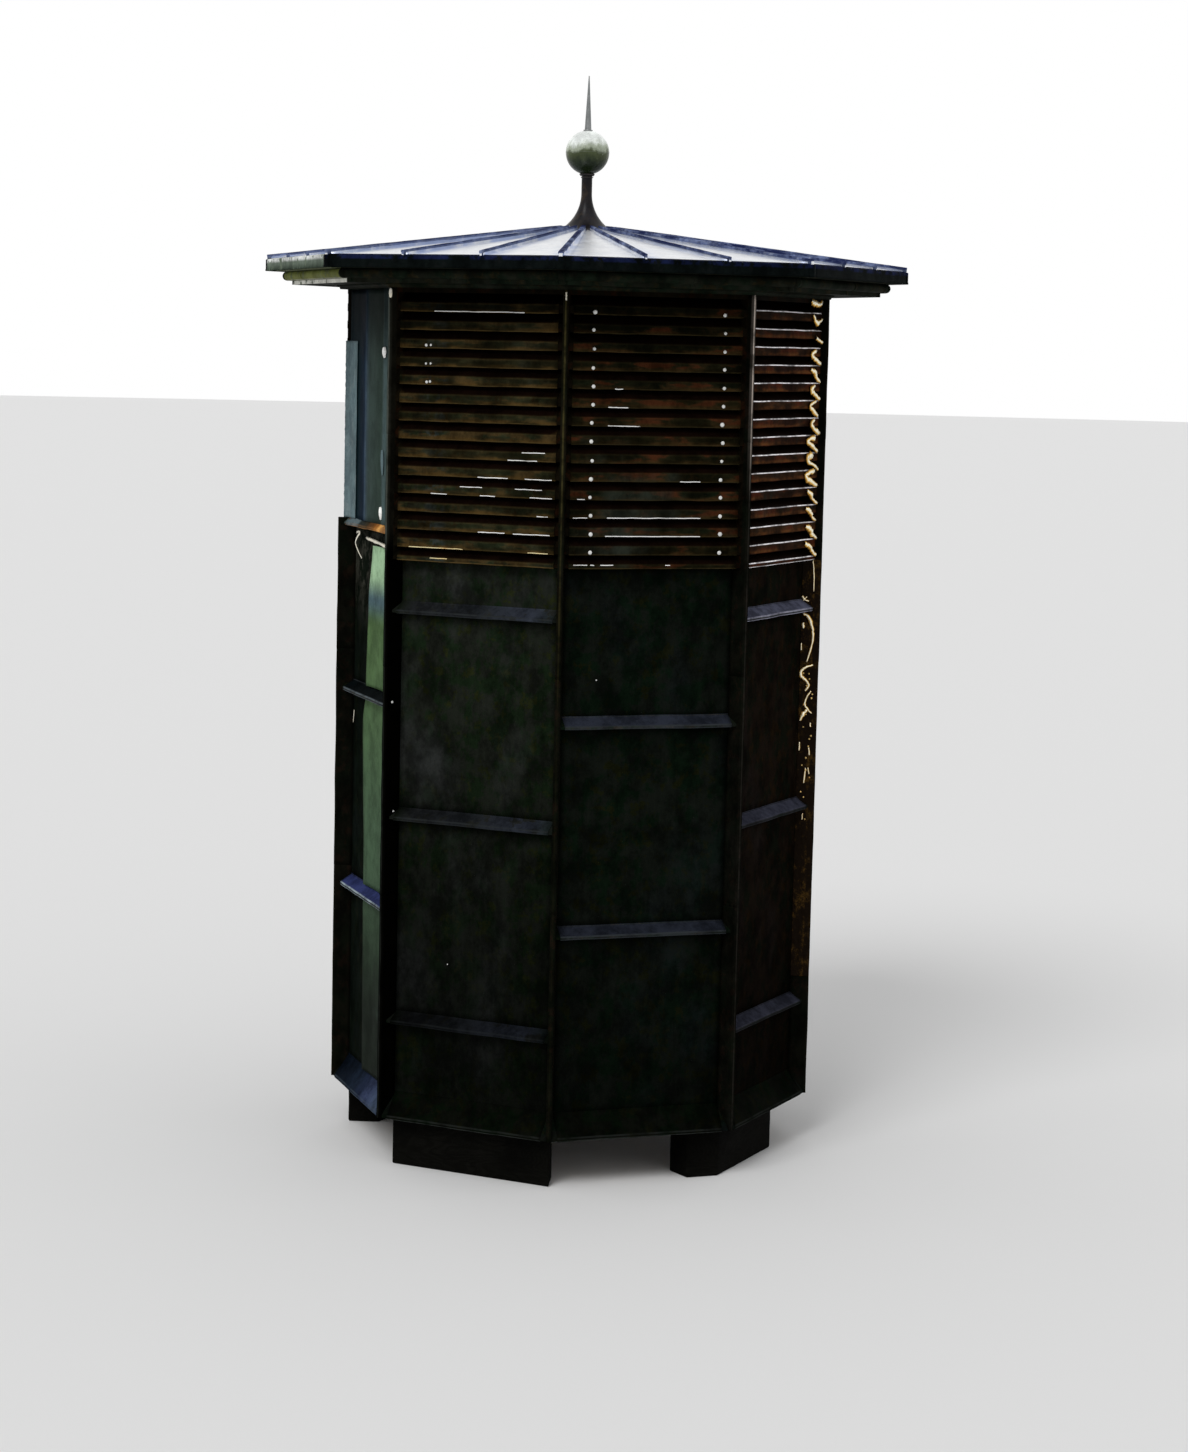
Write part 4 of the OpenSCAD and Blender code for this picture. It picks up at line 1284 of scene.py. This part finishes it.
# Painted highlights along the hems of a face's blades, drawn as bright beads, as (blade, from, to) across
# the face
HEM_GLINTS = {
    FRONT: [(10, -0.174, -0.141), (9, -0.200, -0.119), (8, -0.199, -0.068), (5, 0.102, 0.185),
            (4, -0.318, -0.286), (3, -0.333, -0.276), (3, -0.195, 0.189), (2, -0.201, 0.191),
            (0, -0.328, -0.271), (0, -0.259, -0.243), (0, -0.218, -0.165), (0, 0.049, 0.069)],
    FRONT_LEFT: [(14, -0.194, 0.201), (6, 0.140, 0.266), (5, 0.009, 0.141), (5, 0.215, 0.332),
                 (4, -0.198, -0.127), (4, 0.020, 0.086), (4, 0.239, 0.334), (3, 0.270, 0.318),
                 (2, 0.014, 0.132), (2, 0.168, 0.328)],
}
GILT_HEM_GLINTS = [(1, -0.293, -0.052), (1, 0.234, 0.321), (0, -0.198, -0.122)]
FOLD_GLINTS = [(4, -0.069, 0.028), (4, 0.173, 0.290), (6, 0.200, 0.300)]
GLINT_A = WALL_A + LIP_FRONT + 0.0006
GLINT_R = 0.0019


def glints(n):
    """Painted highlights: short bright beads along stretches of a face's hems and folds."""
    hems = HEM_GLINTS.get(n, [])
    if not hems:
        rng = random.Random(40 + n)
        for blade in range(BLADES):
            start = rng.uniform(-0.33, 0.15)
            hems.append((blade, start, start + rng.uniform(0.03, 0.14)))
    kinds = [(hems, BLADE_APRON, GLINT_METAL)]
    if n == FRONT_LEFT:
        kinds += [(GILT_HEM_GLINTS, BLADE_APRON, GILT_GLINT_METAL), (FOLD_GLINTS, -0.001, GLINT_METAL)]
    dents = {"cuts": 10, "dent": 0.0012, "dent_size": 0.03}
    meshes = []
    for places, drop, finish in kinds:
        runs = []
        for blade, start, end in places:
            z = blade_z(blade) - (drop if blade else 0.0)
            runs.append([place(n, start, GLINT_A, z), place(n, end, GLINT_A, z)])
        meshes.append(folded(runs, bead(GLINT_R, 6), finish, closed=True, **dents))
    add_piece("bare_hems_" + FACES[n], "spike_metal", *meshes)


def arc(a, z, r, start, end, n=6):
    """Points of an arc round (a, z), its angles in degrees."""
    turns = [math.radians(t) for t in steps(start, end, n)]
    return [(a + r * math.cos(t), z + r * math.sin(t)) for t in turns]


def moulding():
    """The cornice's outline from the foot of its fillet to the top of its cavetto."""
    foot = SOFFIT_Z - FILLET_DROP
    torus_z = foot + FILLET_H + TORUS_R
    corona_z = torus_z + TORUS_R
    line = [(FILLET_A, foot), (FILLET_A, foot + FILLET_H)]
    line += arc(FILLET_A + TORUS_R, torus_z, TORUS_R, -90, 90, 10)
    line += [(CORONA_A, corona_z - 0.001), (CORONA_A, corona_z + CORONA_H)]
    return line + arc(CORONA_A + CAVETTO_R, corona_z + CORONA_H, CAVETTO_R, 180, 96)


def band_rows(n, line, start, end, proud, count, sway=0.0012):
    """Rows of points that follow an outline along part of face n: start and end run from -1 to 1."""
    def point(spot, t):
        a, z = spot
        across = t * a * math.tan(HALF)
        stand = proud + sway * wave(across * 5 + 7 * n, z * 8, 1) * (1 - abs(t) ** 8)
        return place(n, across, a + stand, z)

    return grid(line, steps(start, end, count), point)


def strap(k, line, wide, proud):
    """Rows of points that follow an outline over the corner k, wide to each side of it."""
    rows = []
    for a, z in line:
        reach = a + proud
        side = a * math.tan(HALF) - wide
        middle = at_corner(k, 0.0, reach / math.cos(HALF), z)
        rows.append([place(k - 1, side, reach, z), middle, place(k, -side, reach, z)])
    return rows


def cornice_sheets():
    """Copper over the cornice: a length to each face with a lap joint, and a strap over each mitre."""
    line = moulding()
    copper = FINISHES["cornice_copper"]
    rng = random.Random(5)
    meshes = []
    for n in range(8):
        lap = rng.uniform(-0.4, 0.4)
        length = band_rows(n, line, -0.999, 0.999, PROUD, 20)
        joint = band_rows(n, line, lap, lap + 0.04, 2.2 * PROUD, 2)
        meshes.append(skin([length, joint], CORNICE_LEFT if n == LEFT else copper))
    meshes.append(skin([strap(k, line, 0.014, 2.4 * PROUD) for k in range(1, 9)], copper))
    add_piece("cornice_sheets", "cornice_copper", *meshes)


def soffit_boards():
    """The soffit's boards, with a dark joint between each and the next."""
    edges = steps(BED_A + 0.002, FILLET_A - FILLET_W - 0.002, 4)
    joint, edge_z, face_z = 0.0025, SOFFIT_Z - 0.0005, SOFFIT_Z - 0.003
    sheets = []
    for n in range(8):
        for low, end in zip(edges, edges[1:]):
            high = end - joint
            line = [(low, edge_z), (low + 0.0008, face_z), (high - 0.0008, face_z), (high, edge_z)]
            sheets.append(band_rows(n, line, -0.995, 0.995, 0.0, 8, 0.0))
    mesh = skin(sheets, FINISHES["cornice_copper"], thick=False)
    add_piece("soffit_boards", "cornice_copper", mesh)


def eave_trim():
    """The dark drip trim round the roof's skirt: a hem below, and a turn over the roof's edge."""
    low = EAVE_Z - SKIRT_H
    front = EAVE_A + 0.0026
    line = [(front - 0.005, low + 0.004), (front - 0.003, low - 0.001), (front + 0.001, low - 0.0015),
            (front + 0.0015, low + 0.005), (front, low + 0.007), (front, EAVE_Z - 0.002),
            (front - 0.001, EAVE_Z + 0.002), (front - 0.026, EAVE_Z + 0.004 + 0.026 * SLOPE)]
    meshes = []
    for n in range(8):
        rows = band_rows(n, line, -1.0, 1.0, 0.0, 24, 0.0010)
        meshes.append(skin([rows], EAVE_LEFT if n == LEFT else EAVE_METAL))
    meshes.append(skin([strap(k, line, 0.018, 0.0012) for k in range(1, 9)], EAVE_METAL))
    add_piece("eave_trim", "roof_sheet", *meshes)


def roof_pans():
    """The roof's sheets between the seams, turned up along both sides and a little oil-canned."""
    gap, turned_up, fold, lift = 0.0015, 0.012, 0.0012, 0.0016
    sheets = []
    for n in range(8):
        for j in range(PANS):
            rows = []
            for a in steps(EAVE_A - 0.016, CAP_A + 0.002, 22):
                edge = a * math.tan(HALF)
                left = edge * (2 * j / PANS - 1) + (HIP_W if j == 0 else SEAM_W) / 2 + gap
                right = edge * (2 * (j + 1) / PANS - 1) - (HIP_W if j == PANS - 1 else SEAM_W) / 2 - gap
                roof_z = APEX_Z - a * SLOPE
                row = [place(n, left, a, roof_z + turned_up)]
                near_eave = min(1.0, (EAVE_A - a) / 0.05)
                for t in steps(0, 1, 8):
                    across = left + fold + (right - left - 2 * fold) * t
                    swell = buckle(n + 8 * j, across, a, 0.005) * (4 * t * (1 - t)) * near_eave
                    row.append(place(n, across, a, roof_z + lift + swell))
                rows.append(row + [place(n, right, a, roof_z + turned_up)])
            sheets.append(rows)
    # Painted reflection: these values put the roof's blue edge tone beside each seam
    shade = [1.0, 1.0, 0.5, 0.1, 0.0, 0.0, 0.0, 0.0, 0.1, 0.6, 0.6]
    add_piece("roof_pans", "roof_sheet", skin(sheets, FINISHES["roof_sheet"], shade))


def seam_caps():
    """The folded standing seams and hips: their doubled edge is turned over to one side."""
    hips, seams = [], []
    for n in range(8):
        for j in range(1, PANS + 1):
            turn = HALF if j == PANS else math.atan((2 * j / PANS - 1) * math.tan(HALF))
            ends = (CAP_A + 0.006, EAVE_A - 0.004)
            run = [place(n, a * math.tan(turn), a, APEX_Z - a * SLOPE) for a in ends]
            (hips if j == PANS else seams).append(run)
    meshes = []
    for runs, wide in ((hips, HIP_W), (seams, SEAM_W)):
        w, h = wide / 2 + 0.0008, SEAM_H + 0.0012
        # The values rise to 1 along the turned edge, where the seam metal's painted shadow lies
        line = [(w, 0.0, 0.0), (w, h - 0.010, 0.2), (w + 0.0022, h - 0.009, 0.8),
                (w + 0.0022, h - 0.002, 1.0), (w, h + 0.0006, 1.0), (-w, h, 1.0), (-w, h - 0.006, 0.4),
                (-w, 0.0, 0.0)]
        meshes.append(folded(runs, line, SEAM_METAL, cuts=30, dent=0.0009, dent_size=0.1, closed=True))
    add_piece("seam_caps", "roof_sheet", *meshes)


def finial_trim():
    """Soldered beads round the finial's foot, collar and spike, the ball's seam, and the foot's screws.

    A bead is (radius, height, thickness, finish).
    """
    copper, ball, bright = FINISHES["finial_copper"], FINISHES["ball_metal"], FINISHES["spike_metal"]
    beads = [
        (FOOT_R - 0.001, FOOT[0].z + 0.004, 0.0045, copper),
        (0.029, FOOT[1].z - 0.002, 0.0028, copper),
        (0.0235, FOOT[1].z - 0.014, 0.0022, copper),
        (BALL[1].x, (BALL[0].z + BALL[1].z) / 2, 0.0012, ball),
        (0.0175, SPIKE[0].z + 0.003, 0.0020, bright),
    ]
    meshes = []
    for r, z, thick, finish in beads:
        ring = circle(r, z, 64)
        line = bead(thick, 8, 0.4)
        meshes.append(folded([ring + ring[:1]], line, finish, cuts=0, dent=0.0002, closed=True))
    screws = list(zip(circle(0.100, FOOT[0].z + 0.011, 8), circle(0.54, 0.84, 8)))
    add_piece("finial_trim", "finial_copper", *meshes, studs(screws, bright, 0.0042, 0.0025))


# The blocks' wear: how round their edges are, and how deep their bruises
BLOCK_ROUND = 0.007
BRUISE = 0.0016


def worn_block(node):
    """A plinth block with its edges rounded and bruised by use."""
    bm = bmesh.new()
    bm.from_mesh(frame["nodes"][node].data)
    bmesh.ops.remove_doubles(bm, verts=bm.verts, dist=1e-5)
    bmesh.ops.dissolve_limit(bm, angle_limit=math.radians(1), verts=bm.verts, edges=bm.edges)
    sharp = [edge for edge in bm.edges if edge.calc_face_angle(0.0) > math.radians(20)]
    bmesh.ops.bevel(bm, geom=sharp, offset=BLOCK_ROUND, segments=3, profile=0.5, affect="EDGES")
    long_edges = [edge for edge in bm.edges if edge.calc_length() > 0.05]
    bmesh.ops.subdivide_edges(bm, edges=long_edges, cuts=12, use_grid_fill=True)
    bmesh.ops.triangulate(bm, faces=[face for face in bm.faces if len(face.verts) > 4])
    noise.seed_set(9)
    for vert in bm.verts:
        if vert.co.z >= 0.001:
            vert.co += BRUISE * noise.noise_vector(vert.co * 14.0)
            vert.co.z = min(vert.co.z, BASE_Z)
    for face in bm.faces:
        face.smooth = True
    add_piece("worn_" + node, "block_timber", to_mesh(bm, FINISHES["block_timber"]), stands_for=[node])


def bright_heads():
    """Screws in the side of fin 7, painted highlights at the tops of fins 7 and 8 drawn as small bright
    lugs, nail heads on the panels.
    """
    side = at_corner(7, 1.0, 0.0, 0.0)
    screws = []
    for out, z in ((0.974, 1.885), (0.971, 0.597), (0.961, 1.446)):
        screws.append((at_corner(7, FIN_SIDE, out, z), side))

    def down_tip(k, beside, drops):
        facing = at_corner(k, 0.0, 1.0, 0.0)
        spots = [at_corner(k, beside, FIN_TIP + PROUD, HEAD_Z - drop) for drop in drops]
        return [(spot, facing) for spot in spots]

    # Painted highlights: small cream lugs where the tops of fins 7 and 8 catch the light
    lug_glints = down_tip(7, 0.005, (0.011, 0.018, 0.025, 0.032))
    slip_glints = down_tip(8, 0.001, (0.012, 0.017, 0.022, 0.027, 0.032, 0.037))
    nails = []
    for n, across, z in ((FRONT, -0.208, 2.016), (FRONT_LEFT, -0.112, 0.847)):
        nails.append((place(n, across, WALL_A + PROUD + 0.004, z), outward(n)))
    add_piece(
        "bright_heads", "spike_metal", studs(screws, RIVET_METAL, 0.006, 0.003, 1),
        studs(lug_glints, CREAM_EDGE, 0.01, 0.003, 2), studs(slip_glints, CREAM_EDGE, 0.0034, 0.002, 4),
        studs(nails, RIVET_METAL, 0.0025, 0.0015, 3),
    )


for face in range(8):
    cladding(face)
    rib_caps(face)
    flare_cap(face)
for face in LOUVRED:
    blade_sheets(face)
for face in RIVETED:
    rivets(face)
    glints(face)
for corner in range(1, 9):
    fin_cover(corner)
for make in (new_sheet, curled_top, paring, bay_sheet, bay_apron, bay_glints, strip_flap, ragged_strip,
             crumpled_strip, bright_heads, cornice_sheets, soffit_boards, eave_trim, roof_pans, seam_caps,
             finial_trim):
    make()
for block in ("block_front_left", "block_front_right", "block_back_right", "block_back_left"):
    worn_block(block)


# The studio: floor, lamp, world and camera
FLOOR_R = 160.0
WORLD_LIGHT = 0.6


def studio():
    mesh = bpy.data.meshes.new("floor")
    mesh.from_pydata(circle(FLOOR_R, 0.0, 64), [], [list(range(64))])
    material, bench = new_material("pale_floor")
    shader = bench.put("ShaderNodeBsdfPrincipled", {"Base Color": (820, 820, 820), "Roughness": 0.9})[0]
    bench.put("ShaderNodeOutputMaterial", {"Surface": shader})
    mesh.materials.append(material)
    floor = new_object("floor", mesh)

    lamp = bpy.data.lights.new("key", "SUN")
    lamp.energy = 1.3
    lamp.angle = math.radians(26)
    new_object("key", lamp).rotation_euler = (math.radians(46), 0.0, math.radians(-44))

    world = bpy.data.worlds.new("studio")
    world.use_nodes = True
    world.node_tree.nodes.clear()
    bench = Bench(world.node_tree)
    path = bench.put("ShaderNodeLightPath")
    seen = bench.math("ADD", path["Is Camera Ray"], path["Is Glossy Ray"])
    seen = bench.math("ADD", seen, path["Is Transmission Ray"], clamp=True)
    level = bench.line(seen, 1.0 - WORLD_LIGHT, WORLD_LIGHT)
    light = bench.put("ShaderNodeBackground", {"Color": (1000, 1000, 1000), "Strength": level})[0]
    bench.put("ShaderNodeOutputWorld", {"Surface": light})
    bpy.context.scene.world = world


def camera():
    lens = bpy.data.cameras.new("camera")
    lens.sensor_fit = "VERTICAL"
    lens.sensor_height = 36.0
    lens.lens = CAMERA_FOCAL / PICTURE_H * lens.sensor_height
    lens.clip_end = 500.0
    heading = CAMERA_AZIMUTH + CAMERA_YAW
    level = Vector((math.cos(heading), math.sin(heading), 0.0))
    flat, fall = math.cos(CAMERA_PITCH), math.sin(CAMERA_PITCH)
    ahead = Vector((-level.y * flat, level.x * flat, -fall))
    upright = level.cross(ahead)
    right = math.cos(CAMERA_ROLL) * level + math.sin(CAMERA_ROLL) * upright
    up = math.cos(CAMERA_ROLL) * upright - math.sin(CAMERA_ROLL) * level
    stand = Vector((math.sin(CAMERA_AZIMUTH), -math.cos(CAMERA_AZIMUTH), 0.0)) * CAMERA_DISTANCE
    stand.z = CAMERA_HEIGHT
    seen = new_object("camera", lens)
    seen.matrix_world = Matrix.Translation(stand) @ Matrix((right, up, -ahead)).transposed().to_4x4()
    bpy.context.scene.camera = seen


studio()
camera()
bpy.context.scene.view_settings.view_transform = "Standard"
